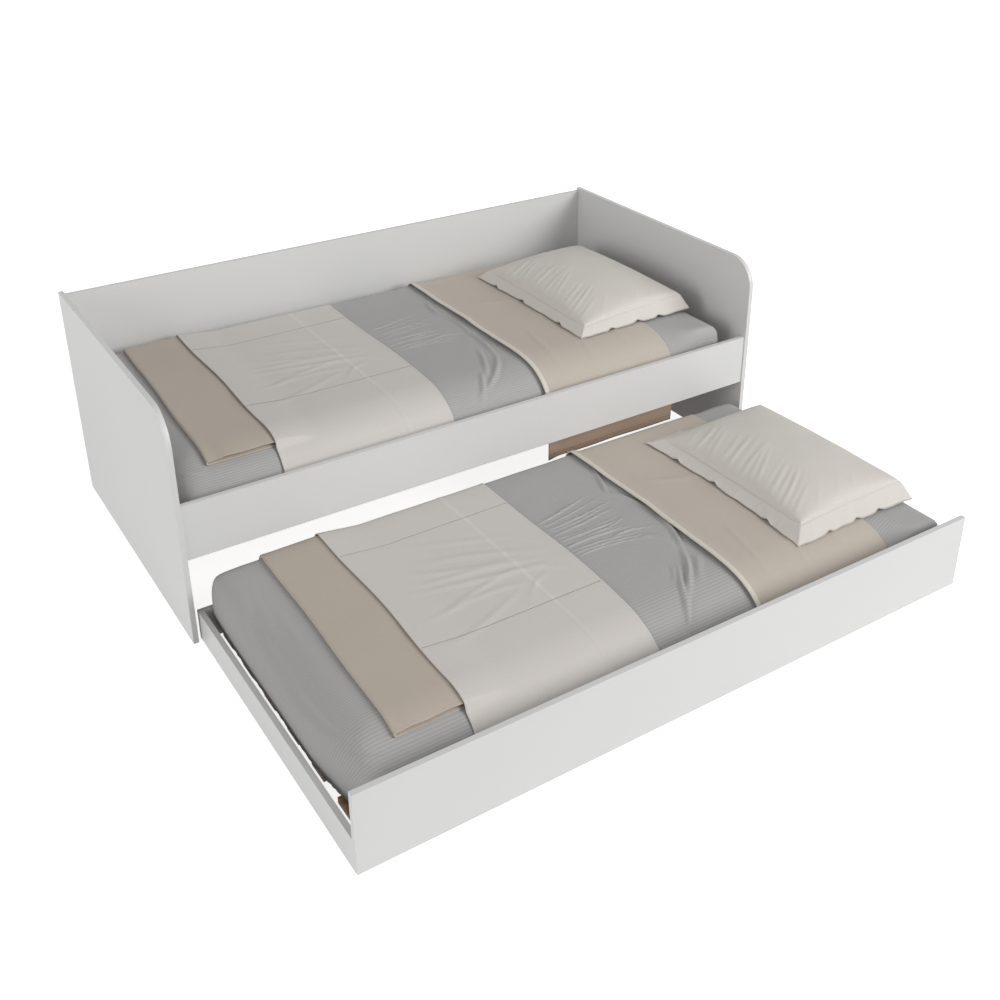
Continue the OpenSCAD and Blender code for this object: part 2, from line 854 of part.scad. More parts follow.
module left_back_wheel() {
    wheel(wheel_xs[0], 1);
}

module right_back_wheel() {
    wheel(wheel_xs[1], 1);
}

// Mattresses and bedding, drawn from a mattress's foot end, front and underside

// End view of a mattress, grown all round
module mattress_outline(grow) {
    low = mattress_bottom_radius;
    high = mattress_thickness - mattress_top_radius;
    translate([-grow, low]) square([mattress_width + 2 * grow, high - low]);
    translate([mattress_top_radius, low])
        square([mattress_width - 2 * mattress_top_radius, mattress_thickness + grow - low]);
    translate([mattress_bottom_radius, -grow])
        square([mattress_width - 2 * mattress_bottom_radius, high + grow]);
    for (y = [mattress_top_radius, mattress_width - mattress_top_radius])
        translate([y, high]) circle(r = mattress_top_radius + grow);
    for (y = [mattress_bottom_radius, mattress_width - mattress_bottom_radius])
        translate([y, low]) circle(r = mattress_bottom_radius + grow);
}

module mattress(bed) {
    color(ticking_colour) over_origin()
        translate(bed) along_x(mattress_length) mattress_outline(0);
}

// A fitted sheet wraps the mattress and turns in under it, open in the middle below
module fitted_sheet(bed) {
    inner_grow = sheet_grow - sheet_thickness;
    color(sheet_colour) over_origin()
        translate(bed)
            difference() {
                translate([-sheet_grow, 0, 0])
                    along_x(mattress_length + 2 * sheet_grow) mattress_outline(sheet_grow);
                translate([-inner_grow, 0, 0])
                    along_x(mattress_length + 2 * inner_grow) mattress_outline(inner_grow);
                box([sheet_turn_width, sheet_turn_width, -sheet_grow - overrun],
                    [mattress_length - sheet_turn_width, mattress_width - sheet_turn_width, 0]);
            }
}

// End view of a cover that lies over the mattress and hangs at both long sides
module cover_outline(thickness, front_hem, back_hem) {
    shoulder = mattress_thickness - mattress_top_radius;
    outer = cover_inner + thickness;
    difference() {
        mattress_outline(outer);
        mattress_outline(cover_inner);
        translate([-outer - overrun, -outer - overrun])
            square([mattress_width + 2 * (outer + overrun), shoulder + outer + overrun]);
    }
    translate([-outer, front_hem]) square([thickness, shoulder - front_hem]);
    translate([mattress_width + cover_inner, back_hem]) square([thickness, shoulder - back_hem]);
}

module cover(bed, start, width, front_hem) {
    over_origin()
        translate(bed + [start, 0, 0])
            along_x(width) cover_outline(cover_thickness, front_hem, cover_hem);
}

// The foot blanket lies folded, with its front end back from the mattress's edge
module foot_blanket(bed, front) {
    color(blanket_colour) over_origin()
        translate(bed + [blanket_start, 0, 0])
            along_x(blanket_width)
                difference() {
                    cover_outline(blanket_thickness, cover_hem, cover_hem);
                    translate([-mattress_width, 0])
                        square([mattress_width + front, 2 * mattress_thickness]);
                }
}

module coverlet(bed) {
    color(coverlet_colour) cover(bed, coverlet_start, coverlet_width, cover_hem);
}

module throw(bed, front_hem) {
    color(throw_colour) cover(bed, throw_start, throw_width, front_hem);
}

// A slab with rounded corners, centred on the Z axis
module rounded_slab(length, width, radius, thickness) {
    linear_extrude(height = thickness) {
        square([length, width - 2 * radius], center = true);
        square([length - 2 * radius, width], center = true);
        for (x = [-1, 1])
            for (y = [-1, 1])
                translate([x * (length / 2 - radius), y * (width / 2 - radius)])
                    circle(r = radius, $fn = 32);
    }
}

module pillow(bed, overhang, front) {
    body_length = pillow_length - 2 * flange_width;
    body_width = pillow_width - 2 * flange_width;
    crown_length = pillow_length - 2 * crown_inset;
    crown_width = pillow_width - 2 * crown_inset;
    color(pillow_colour) over_origin()
        translate(bed + [mattress_length + overhang - pillow_length / 2, front + pillow_width / 2,
            mattress_thickness + cover_outer + cloth_gap]) {
            rounded_slab(pillow_length, pillow_width, pillow_corner, flange_thickness);
            hull() {
                rounded_slab(body_length, body_width, pillow_corner, flange_thickness);
                translate([0, 0, shoulder_height])
                    rounded_slab(body_length - flange_width, body_width - flange_width, 2 * pillow_corner,
                        flange_thickness);
                translate([0, 0, pillow_height - flange_thickness])
                    rounded_slab(crown_length, crown_width, 3 * pillow_corner, flange_thickness);
            }
        }
}

module upper_mattress() {
    mattress(upper_bed);
}

module upper_fitted_sheet() {
    fitted_sheet(upper_bed);
}

module upper_foot_blanket() {
    foot_blanket(upper_bed, upper_blanket_front);
}

module upper_coverlet() {
    coverlet(upper_bed);
}

// The upper throw's front end falls between the mattress and the front rail
module upper_throw() {
    throw(upper_bed, throw_hem - upper_bed[2]);
}

module upper_pillow() {
    pillow(upper_bed, upper_pillow_overhang, upper_pillow_front);
}

module trundle_mattress() {
    mattress(trundle_bed);
}

module trundle_fitted_sheet() {
    fitted_sheet(trundle_bed);
}

module trundle_foot_blanket() {
    foot_blanket(trundle_bed, trundle_blanket_front);
}

module trundle_coverlet() {
    coverlet(trundle_bed);
}

module trundle_throw() {
    throw(trundle_bed, cover_hem);
}

module trundle_pillow() {
    pillow(trundle_bed, trundle_pillow_overhang, trundle_pillow_front);
}

left_end_panel();
right_end_panel();
back_panel();
front_rail();
rear_stretcher();
floor_glides();
frame_cam_nuts();
frame_cam_bolts();
frame_dowel_pins();
stop_buffers();
front_bearer_tube();
back_bearer_tube();
bearer_brackets();
bearer_bracket_screws();
for (slat = [1:upper_slats])
    upper_slat(slat);
upper_slat_screws();
upper_mattress();
upper_fitted_sheet();
upper_foot_blanket();
upper_coverlet();
upper_throw();
upper_pillow();
trundle_front_panel();
trundle_left_rail();
trundle_right_rail();
trundle_back_rail();
trundle_cam_nuts();
trundle_cam_bolts();
trundle_dowel_pins();
left_cross_bearer();
middle_cross_bearer();
right_cross_bearer();
for (slat = [1:trundle_slats])
    trundle_slat(slat);
trundle_slat_screws();
wheel_brackets();
wheel_bracket_screws();
wheel_axles();
left_front_wheel();
right_front_wheel();
left_back_wheel();
right_back_wheel();
trundle_mattress();
trundle_fitted_sheet();
trundle_foot_blanket();
trundle_coverlet();
trundle_throw();
trundle_pillow();
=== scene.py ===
# %% [markdown]
# # A trundle bed, made up and pulled out
# The bed is a set of flat white boards with a low bed on wheels under it. The boards, slats and fittings
# come ready made from the construction model, at their true size and place. What is left to make here is
# everything that a carpenter doesn't make: the finish of each surface, two soft mattresses with ribbed
# sheets, the folded covers, the flanged pillows, and a plain studio to see them in.

# %% Load the construction model
import math

import bpy
import numpy as np
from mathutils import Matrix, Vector


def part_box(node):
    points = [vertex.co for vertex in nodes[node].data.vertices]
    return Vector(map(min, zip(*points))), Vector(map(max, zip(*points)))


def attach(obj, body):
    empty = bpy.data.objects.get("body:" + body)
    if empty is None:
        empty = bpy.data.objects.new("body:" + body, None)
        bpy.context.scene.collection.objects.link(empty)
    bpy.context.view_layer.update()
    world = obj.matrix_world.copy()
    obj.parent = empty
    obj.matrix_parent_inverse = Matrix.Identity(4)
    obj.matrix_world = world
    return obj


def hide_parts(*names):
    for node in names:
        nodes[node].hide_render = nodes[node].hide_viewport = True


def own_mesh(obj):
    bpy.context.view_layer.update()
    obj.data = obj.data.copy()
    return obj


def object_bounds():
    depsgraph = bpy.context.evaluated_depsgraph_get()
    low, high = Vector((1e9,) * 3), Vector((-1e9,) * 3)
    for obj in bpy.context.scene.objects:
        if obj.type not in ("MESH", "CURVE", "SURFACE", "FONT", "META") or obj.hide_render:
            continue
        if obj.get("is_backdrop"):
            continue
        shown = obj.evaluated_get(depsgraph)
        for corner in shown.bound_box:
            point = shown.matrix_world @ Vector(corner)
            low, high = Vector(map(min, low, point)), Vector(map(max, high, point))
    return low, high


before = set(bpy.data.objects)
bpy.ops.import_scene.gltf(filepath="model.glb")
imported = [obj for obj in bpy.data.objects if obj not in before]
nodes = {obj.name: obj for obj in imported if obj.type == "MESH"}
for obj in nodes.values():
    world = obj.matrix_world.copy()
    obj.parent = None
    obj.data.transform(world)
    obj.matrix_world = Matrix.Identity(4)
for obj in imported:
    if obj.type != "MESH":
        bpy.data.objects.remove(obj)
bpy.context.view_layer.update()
MM = 0.001

# %% [markdown]
# ## Small helpers
# Blender's operators act on whatever is selected, and everything is selected after an import, so each step
# first clears the selection. Soft goods are shaped by moving many points at once, which is quickest with
# the points held as one array: `points` reads them and `place` writes them back.

# %% Selection, modifiers and points
def deselect():
    bpy.ops.object.select_all(action="DESELECT")


def pick(obj):
    deselect()
    obj.select_set(True)
    bpy.context.view_layer.objects.active = obj
    return obj


def named(name):
    obj = bpy.context.object
    obj.name = name
    obj.data.name = name
    return obj


def modify(obj, kind, **settings):
    modifier = obj.modifiers.new(kind.title(), kind)
    for key, value in settings.items():
        setattr(modifier, key, value)
    return modifier


def applied(obj, kind, **settings):
    modifier = modify(obj, kind, **settings)
    pick(obj)
    bpy.ops.object.modifier_apply(modifier=modifier.name)
    return obj


def copy_of(obj, name):
    pick(obj)
    bpy.ops.object.duplicate(linked=False)
    return named(name)


def points(obj):
    flat = np.empty(len(obj.data.vertices) * 3)
    obj.data.vertices.foreach_get("co", flat)
    return flat.reshape(-1, 3)


def place(obj, where):
    obj.data.vertices.foreach_set("co", where.ravel())
    obj.data.update()
    return obj


def smooth_step(values, start, end):
    share = np.clip((values - start) / (end - start), 0, 1)
    return share * share * (3 - 2 * share)


print("helpers ready")

# %% [markdown]
# ## Colours and nodes
# Colours are written as the hex values a designer would give, and one function turns them into the linear
# light that Blender works in. `add` makes a node and fills its inputs. A few short functions stand for the
# nodes that come back most often, so that each material below reads as a recipe.

# %% Colour and node helpers
def colour(hex_code):
    parts = [int(hex_code[i:i + 2], 16) / 255 for i in (1, 3, 5)]
    return [p / 12.92 if p <= 0.04045 else ((p + 0.055) / 1.055) ** 2.4 for p in parts] + [1.0]


def feed(tree, target, value):
    """An input gets a socket, a hex colour or a number."""
    if isinstance(value, bpy.types.NodeSocket):
        tree.links.new(value, target)
    else:
        target.default_value = colour(value) if isinstance(value, str) else value


def add(tree, kind, settings=None, **values):
    """settings: the node's choices, by name. values: what goes into an input, by name, or by number as _0."""
    node = tree.nodes.new(kind)
    for key, value in (settings or {}).items():
        if key in node.inputs:
            node.inputs[key].default_value = value
        else:
            setattr(node, key, value)
    for key, value in values.items():
        feed(tree, node.inputs[int(key[1:]) if key[1:].isdigit() else key], value)
    return node


def new_material(name, base, **shader):
    material = bpy.data.materials.new(name)
    material.use_nodes = True
    material.diffuse_color = colour(base)
    principled = material.node_tree.nodes["Principled BSDF"]
    principled.inputs["Base Color"].default_value = colour(base)
    for key, value in shader.items():
        principled.inputs[key.replace("_", " ")].default_value = value
    return material, material.node_tree, principled


def maths(tree, operation, *values):
    numbered = {f"_{number}": value for number, value in enumerate(values)}
    return add(tree, "ShaderNodeMath", {"operation": operation}, **numbered).outputs["Value"]


def ramped(tree, value, start, end, first=0.0, last=1.0):
    """Goes from first to last while the value goes from start to end."""
    limits = {"From Min": start, "From Max": end, "To Min": first, "To Max": last}
    return add(tree, "ShaderNodeMapRange", limits, Value=value).outputs["Result"]


def blended(tree, factor, first, second):
    return add(tree, "ShaderNodeMix", {"data_type": "RGBA"}, _0=factor, _6=first, _7=second).outputs[2]


def mixed(tree, factor, first, second):
    """A colour that goes from the first hex value to the second as factor goes from 0 to 1."""
    ramp = add(tree, "ShaderNodeValToRGB", Fac=factor)
    ramp.color_ramp.elements[0].color = colour(first)
    ramp.color_ramp.elements[1].color = colour(second)
    return ramp.outputs["Color"]


def noise(tree, where, size_mm, detail):
    settings = {"Scale": 1 / (size_mm * MM), "Detail": detail}
    return add(tree, "ShaderNodeTexNoise", settings, Vector=where).outputs["Fac"]


def wave(tree, where, period_mm, direction, **more):
    """A wave texture repeats every 2 pi / 20 units at scale 1."""
    settings = {"Scale": 2 * math.pi / 20 / (period_mm * MM), "bands_direction": direction, **more}
    return add(tree, "ShaderNodeTexWave", settings, Vector=where).outputs["Fac"]


def bump(tree, shader, height, distance_mm):
    node = add(tree, "ShaderNodeBump", {"Strength": 1.0, "Distance": distance_mm * MM}, Height=height)
    feed(tree, shader.inputs["Normal"], node.outputs["Normal"])


def object_place(tree):
    return add(tree, "ShaderNodeTexCoord").outputs["Object"]


print("white is", [round(v, 3) for v in colour("#ffffff")])

# %% [markdown]
# ## Hard finishes
# Every board is chipboard under a white melamine foil. The foil is flat and slightly soft in its shine, with
# an orange-peel unevenness of a few millimetres that shows only in its highlights. A plain white would look
# like paper, so the recipe also drifts a little in tone, as a big printed foil does.
#
# Chipboard is cut square, and its edge band is rounded by less than a millimetre. That small round catches
# the light, so each board gets a Bevel. The pieces from the construction model are loose triangles, and a
# Weld joins them first. Both stay live modifiers, because the ready-made meshes themselves aren't touched.

# %% White foil board
def foil_board():
    material, tree, shader = new_material("melamine_foil_board", "#d6d6d5", Roughness=0.4)
    here = object_place(tree)
    feed(tree, shader.inputs["Base Color"], mixed(tree, noise(tree, here, 350, 1.0), "#d5d5d4", "#d8d8d7"))
    # Orange peel is 2 to 3 mm wide and a few hundredths deep
    bump(tree, shader, noise(tree, here, 2.6, 1.0), 0.04)
    return material


board = foil_board()
print("board:", board.name)

# %% [markdown]
# Slats and cross bearers are planed pine, oiled by nothing but age. Its year rings are cut at a slant, so
# they run along the slat as long flames a centimetre apart, with finer streaks between them. A Wave texture
# across the grain, pulled out of line by a noise that is stretched along it, draws both. The grain follows
# the length of each piece, so there is one pine for slats along the bed and one for slats across it.

# %% Planed pine
def planed_pine(name, stretch):
    """stretch says how much slower the figure changes along each axis."""
    material, tree, shader = new_material(name, "#cfa877", Roughness=0.55)
    along = add(tree, "ShaderNodeMapping", {"Scale": stretch}, Vector=object_place(tree)).outputs["Vector"]
    flames = wave(tree, along, 11, "DIAGONAL", Distortion=6.0, Detail=3.0, **{"Detail Scale": 1.2})
    streaks = noise(tree, along, 2.2, 4.0)
    early = mixed(tree, flames, "#dcb98a", "#c0925c")
    late = mixed(tree, streaks, "#e4c79d", "#b98c58")
    feed(tree, shader.inputs["Base Color"], blended(tree, 0.4, early, late))
    bump(tree, shader, streaks, 0.12)
    return material


pine_along = planed_pine("planed_pine_along_bed", (0.04, 1, 1))
pine_across = planed_pine("planed_pine_across_bed", (1, 0.04, 1))
print("pine:", pine_along.name, pine_across.name)

# %% [markdown]
# The small hardware is steel and plastic. The bearer tubes are powder coated, which leaves a fine pebbled
# skin. Brackets, screws and cam bolts are zinc plated: a cool metal whose brightness wanders in patches a
# few millimetres wide. Glides and buffers are moulded, so they are matt and even, with a faint grain.

# %% Coated steel, zinc, plastics and rubber
def speckled(name, base, other, grain_mm, depth_mm, rough, metal=0.0):
    material, tree, shader = new_material(name, base, Roughness=rough, Metallic=metal)
    grain = noise(tree, object_place(tree), grain_mm, 3.0)
    feed(tree, shader.inputs["Base Color"], mixed(tree, grain, base, other))
    bump(tree, shader, grain, depth_mm)
    return material


finish = {
    "white_board": board,
    "pine": pine_across,
    "beech_dowel": speckled("turned_beech", "#d0a778", "#bd9363", 3, 0.05, 0.6),
    "bearer_steel": speckled("powder_coated_steel", "#b9babc", "#b1b2b5", 1.2, 0.03, 0.45),
    "bracket_steel": speckled("zinc_plated_steel", "#c3c6ca", "#a9adb3", 4, 0.01, 0.34, 1.0),
    "zinc_steel": speckled("zinc_plated_screw_steel", "#b9bcc1", "#9da1a8", 2, 0.01, 0.32, 1.0),
    "zinc_nut": speckled("die_cast_zinc", "#b4b6b9", "#9b9ea3", 1.5, 0.03, 0.42, 1.0),
    "nylon": speckled("moulded_white_nylon", "#e9e8e3", "#e2e1db", 1.5, 0.02, 0.5),
    "wheel_nylon": speckled("moulded_black_nylon", "#26262a", "#2e2e32", 1.5, 0.03, 0.48),
    "buffer_rubber": speckled("buffer_rubber", "#2b2b2d", "#343436", 2, 0.04, 0.75),
}
print(len(finish), "hard finishes")

# %% Each ready-made piece gets its finish
SOFT = ("mattress", "sheet", "blanket", "coverlet", "throw", "pillow")
boards = 0
for name, node in nodes.items():
    if name.endswith(SOFT):
        continue
    made_of = node.data.materials[0].name
    low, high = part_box(name)
    size = [h - l for l, h in zip(low, high)]
    node.data.materials[0] = pine_along if made_of == "pine" and size[0] > size[1] else finish[made_of]
    if made_of in ("white_board", "pine"):
        modify(node, "WELD", merge_threshold=0.00001)
        modify(node, "BEVEL", width=0.0007, segments=2, limit_method="ANGLE", angle_limit=math.radians(50),
               use_clamp_overlap=True, harden_normals=False)
        boards += 1
print(boards, "boards and slats with rounded edges")

# %% [markdown]
# ## The made-up bed's shape
# A foam mattress is nearly a box, but its cover and the bedding round it off: the top falls away over the
# last ten to sixteen centimetres, the side is fullest a hand's width up, and the corners are squarer than
# the edges. One function wraps the points of a box round that form. The sheet and every cover use it with a
# larger or smaller `grow`, so that layers follow each other and can't cross.
#
# `over_mattress` works in millimetres from the mattress's foot corner. It also gives each point's place on
# the cloth laid flat, which the weaves and stripes are drawn on.

# %% The mattress form
bed_corner = {bed: np.array(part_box(bed + "_mattress")[0]) for bed in ("upper", "trundle")}
mattress_low, mattress_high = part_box("upper_mattress")
length, width, thick = [(high - low) / MM for low, high in zip(mattress_low, mattress_high)]
middle = np.array([length / 2, width / 2])
foot_edge, head_edge = 105.0, 38.0     # how far in the top starts to fall
front_edge, back_edge = 160.0, 30.0
side_rise, end_rise = 84.0, 112.0      # height of the fall
foot_swell, foot_draw = 6.0, 24.0      # the foot bellies out, and its front corner is drawn in
head_swell = {"upper": 22.0, "trundle": 15.0}
back_swell = {"upper": 2.0, "trundle": 8.0}
crown = {"upper": 3.0, "trundle": 20.0}        # the top is this much fuller in its middle
under_edge = 4.5                       # the lower edge is nearly square
equator = thick - side_rise
print("mattress", round(length), "x", round(width), "x", round(thick), "mm")


def lean_at(plan):
    """How far into the fall at the edges a place is: 0 on the level top, 1 at the side."""
    x, y = plan[..., 0], plan[..., 1]
    # The fall is narrow at the back of the foot end, and at the head end of the front
    foot = foot_edge - 62 * smooth_step(y, 60, 400)
    front = front_edge - 138 * smooth_step(x, 715, 850)
    edge = np.stack([np.where(x < 0, foot, head_edge), np.where(y < 0, front, back_edge)], -1)
    inner = np.clip(plan, edge - middle, middle - edge)
    return inner, edge, (plan - inner) / edge


def fullness(plan):
    """The crown is highest a little behind the middle, fades towards both ends and holds to the back."""
    x, y = plan[..., 0], plan[..., 1] - 60
    behind = np.where(y > 0, (y / 480) ** 4, (y / 510) ** 2)
    return np.clip(1 - (x / middle[0]) ** 6, 0, 1) * np.clip(1 - behind, 0, 1)


def squareness(plan):
    """How square the corners are seen from above, and the top edge. The front foot corner is the roundest."""
    x, y = plan[..., 0], plan[..., 1]
    corner = 7 - 3.6 * smooth_step(-x, 640, 860) * smooth_step(-y, 180, 400)
    foot_back = smooth_step(-x, 700, 880) * smooth_step(y, 200, 420)
    return corner, 2 + 2.2 * smooth_step(x, 740, 880) + 1.2 * foot_back


def falling(plan, most=np.inf):
    """What both shapes below need: the level top's edge, the way out from it, and how far the top falls."""
    inner, edge, lean = lean_at(plan)
    corner, top_edge = squareness(plan)
    reach = np.minimum((np.abs(lean) ** corner[..., None]).sum(-1) ** (1 / corner), most)
    away = lean / np.maximum(reach, 1e-9)[..., None]
    share = np.abs(away) ** corner[..., None]
    return inner, edge, reach, away, share, share @ np.array([end_rise, side_rise]), top_edge


def over_mattress(box, grow, bed):
    """box: places along and across, and -1 below to 1 on top. Gives points, normals and flat places."""
    inner, edge, reach, away, share, fall, top_edge = falling(box[:, :2] - middle)
    turn = np.arctan2(reach, box[:, 2])
    up = turn <= math.pi / 2
    power = np.where(up, top_edge, under_edge)
    out = np.sin(turn) ** (2 / power)
    lift = np.abs(np.cos(turn)) ** (2 / power)
    plan = inner + away * edge * out[:, None]
    belly = out ** 3
    bulge = foot_swell * np.clip(1 - (plan[:, 1] / 450) ** 4, 0, 1)
    at_foot = foot_draw * smooth_step(-plan[:, 1], 190, 450) - bulge
    plan[:, 0] += np.where(away[:, 0] < 0, at_foot, head_swell[bed]) * belly * share[:, 0]
    at_back = (away[:, 1] > 0) * np.clip(1 - (plan[:, 0] / middle[0]) ** 8, 0, 1)
    plan[:, 1] += back_swell[bed] * belly * share[:, 1] * at_back
    above = thick - fall * (1 - lift) + crown[bed] * fullness(plan) * lift
    height = np.where(up, above, (thick - fall) * (1 - lift))
    tall = np.where(up, np.maximum(fall, side_rise), thick - fall)
    upright = np.where(up, 1, -1) * lift ** (power - 1) / tall
    facing = np.column_stack([away / edge * (out ** (power - 1))[:, None], upright])
    facing /= np.maximum(np.linalg.norm(facing, axis=1), 1e-9)[:, None]
    chart = middle + inner + away * turn[:, None] * (0.45 * edge + 50)
    thickness = np.broadcast_to(grow, len(box))[:, None]
    return np.column_stack([middle + plan, height]) + facing * thickness, facing, chart


def top_height(along, inset, bed):
    """How high the bare mattress stands at a place seen from above."""
    plan = np.stack([along, inset], -1) - middle
    _, _, out, _, _, fall, top_edge = falling(plan, 0.995)
    lift = (1 - out ** top_edge) ** (1 / top_edge)
    return thick - np.minimum(fall, end_rise) * (1 - lift) + crown[bed] * fullness(plan) * lift


def arc(side_edge):
    """Turns from level to upright, and the length of cloth from the start of the fall to each."""
    turns = np.linspace(0, math.pi / 2, 200)
    steps = np.hypot(np.diff(side_edge * np.sin(turns)), np.diff(side_rise * np.cos(turns)))
    return turns, np.concatenate([[0], np.cumsum(steps)])


def across_bed(along, across, grow, bed):
    """Points of a cover at its flat places: along from the foot, across from the middle, front negative."""
    side_edge = np.where(across < 0, front_edge, back_edge)
    flat_half = middle[1] - side_edge
    beyond = np.maximum(np.abs(across) - flat_half, 0)
    turn, hang_down = np.zeros(len(across)), np.zeros(len(across))
    for one_edge in (front_edge, back_edge):
        turns, run = arc(one_edge)
        here = side_edge == one_edge
        turn[here] = np.interp(beyond[here], run, turns)
        hang_down[here] = np.maximum(beyond[here] - run[-1], 0)
    lean = np.tan(np.minimum(turn, math.pi / 4))
    plan = middle[1] + np.clip(across, -flat_half, flat_half) + np.sign(across) * side_edge * lean
    level = 1 / np.tan(np.maximum(turn, math.pi / 4))
    where, facing, _ = over_mattress(np.column_stack([along, plan, level]), grow, bed)
    where[:, 2] -= hang_down
    return where, facing


def across_at(inset, bed):
    """The flat place of a point this far in from the mattress's front edge."""
    places = np.linspace(-middle[1] - 60, 0, 400)
    reached = across_bed(np.full(400, middle[0]), places, 0.0, bed)[0][:, 1]
    return float(np.interp(inset, reached, places))


def to_bed(where, bed):
    return where * MM + bed_corner[bed]


front_girth, back_girth = (middle[1] - edge + arc(edge)[1][-1] for edge in (front_edge, back_edge))
print("from its middle the bed is", round(front_girth), "mm to the front,", round(back_girth), "to the back")

# %% [markdown]
# ## Cloth surfaces
# Sheets and covers are grids whose points are placed on the mattress form. A grid's rows can lie closer
# where there is a hem or a crease, so detail costs points only where it shows. `cloth` keeps each point's
# flat place as the UV map, in metres: the weave then follows the cloth over an edge, as a real one does.
#
# Cloth that is pulled flat creases in long low ridges that fan out from where it is held. Each crease here
# is a stroke through three places on the bed, with a width and a height in millimetres.

# %% Grids and creases
def flat_map(obj, flat_mm):
    """Each point's place on the cloth laid flat becomes its UV, in metres."""
    layer = obj.data.uv_layers.get("flat_cloth") or obj.data.uv_layers.new(name="flat_cloth")
    loops = np.empty(len(obj.data.loops), dtype=int)
    obj.data.loops.foreach_get("vertex_index", loops)
    layer.data.foreach_set("uv", (flat_mm[loops] * MM).ravel())


def cloth(name, corners, faces, flat_mm, material):
    mesh = bpy.data.meshes.new(name)
    mesh.from_pydata(corners.tolist(), [], faces)
    obj = bpy.data.objects.new(name, mesh)
    flat_map(obj, flat_mm)
    bpy.context.scene.collection.objects.link(obj)
    mesh.materials.append(material)
    mesh.shade_smooth()
    return obj


def grid_faces(rows, columns):
    index = np.arange(rows * columns).reshape(rows, columns)
    around = [index[:-1, :-1], index[1:, :-1], index[1:, 1:], index[:-1, 1:]]
    return np.stack(around, -1).reshape(-1, 4).tolist()


def spread(*stops):
    """Places from stop to stop: spread(0, 6, 300, 12, 900) goes in steps of about 6, then of about 12."""
    places = [float(stops[0])]
    for step, stop in zip(stops[1::2], stops[2::2]):
        count = max(1, round((stop - places[-1]) / step))
        places += list(np.linspace(places[-1], stop, count + 1)[1:])
    return np.array(places)


def creases(along, across, strokes):
    height = np.zeros(len(along))
    ease = np.linspace(0, 1, 70)[:, None]
    for start, through, end, wide, high in strokes:
        start, through, end = (np.array(p, dtype=float) for p in (start, through, end))
        bend = 2 * through - (start + end) / 2
        path = (1 - ease) ** 2 * start + 2 * ease * (1 - ease) * bend + ease ** 2 * end
        (left, front), (right, back) = path.min(0) - 3.2 * wide, path.max(0) + 3.2 * wide
        near = np.nonzero((along > left) & (along < right) & (across > front) & (across < back))[0]
        if not len(near):
            continue
        gap = np.hypot(along[near, None] - path[:, 0], across[near, None] - path[:, 1])
        closest = gap.argmin(1)
        share = (gap[np.arange(len(near)), closest] / wide) ** 2
        taper = np.sin(math.pi * np.clip(ease[closest, 0], 0.001, 0.999)) ** 0.7
        height[near] += high * taper * (1 - 0.9 * share) * np.exp(-share)
    return height


def ripple(along, across, sizes_mm, seed):
    """A soft unevenness from a few crossing waves, the same on every run."""
    chance = np.random.default_rng(seed)
    total = np.zeros(len(along))
    for size in sizes_mm:
        for _ in range(3):
            heading, phase = chance.uniform(0, 2 * math.pi, 2)
            run = along * math.cos(heading) + across * math.sin(heading)
            total += np.sin(run * 2 * math.pi / size + phase)
    return total / (3 * len(sizes_mm))


print("spread:", spread(0, 6, 18, 12, 54))

# %% [markdown]
# ## Cloth finishes
# Each weave is worked out from its real spacing. The fitted sheet is a ribbed cotton with a cord every
# 8 mm along the bed. Plain weaves have threads half a millimetre apart, which no picture of a whole bed can
# show, so they are drawn 2.5 mm apart and shallow: they read as cloth without crawling. Cotton hardly
# shines, so its gloss is low. Satin is smoother, and the mattress ticking is the coarsest.

# %% Weaves
def flat_place(tree):
    return add(tree, "ShaderNodeUVMap", {"uv_map": "flat_cloth"}).outputs["UV"]


def flat_axis(tree, axis):
    return add(tree, "ShaderNodeSeparateXYZ", Vector=flat_place(tree)).outputs[axis]


def woven(name, base, other, thread_mm, depth_mm, rough, gloss=0.5):
    material, tree, shader = new_material(name, base, Roughness=rough, Specular_IOR_Level=gloss)
    flat = flat_place(tree)
    feed(tree, shader.inputs["Base Color"], mixed(tree, noise(tree, flat, 9, 3.0), base, other))
    threads = maths(tree, "MULTIPLY", wave(tree, flat, thread_mm, "X"), wave(tree, flat, thread_mm, "Y"))
    bump(tree, shader, threads, depth_mm)
    return material


def ribbed_cotton():
    material, tree, shader = new_material("ribbed_cotton_sheet", "#adacab", Roughness=0.75,
                                          Specular_IOR_Level=0.2)
    cord = wave(tree, flat_place(tree), 8, "Y")
    # The valleys between the cords are painted a little darker, as painted shade; the bump gives the cords
    # their relief
    feed(tree, shader.inputs["Base Color"], mixed(tree, cord, "#a9a8a7", "#b6b5b4"))
    bump(tree, shader, cord, 0.24)
    return material


def painted(tree, share, paint):
    """Another colour over the cloth's own, by a share from 0 to 1."""
    base = tree.nodes["Principled BSDF"].inputs["Base Color"]
    feed(tree, base, blended(tree, share, base.links[0].from_socket, paint))


ribbed = ribbed_cotton()
satin = woven("satin_blanket_cloth", "#bfb4a8", "#b8ada1", 2.5, 0.02, 0.45, 0.3)
ticking = woven("mattress_ticking_cloth", "#e4e3df", "#d9d8d4", 6, 0.12, 0.8)
cover_cotton = woven("coverlet_cotton_cloth", "#d6d1cc", "#d0cbc6", 2.5, 0.05, 0.72, 0.2)
throw_cotton = woven("throw_cotton_cloth", "#c6bdb2", "#c0b6ab", 2.5, 0.05, 0.66, 0.2)
binding_satin = woven("ivory_binding_satin", "#dbd5ca", "#d2ccc1", 2.5, 0.03, 0.5, 0.3)
linen = woven("pillow_linen_cloth", "#dcd7d0", "#d6d1ca", 2.5, 0.06, 0.72, 0.2)
thread = woven("brown_stitching_thread", "#85745e", "#756450", 1.2, 0.1, 0.7)

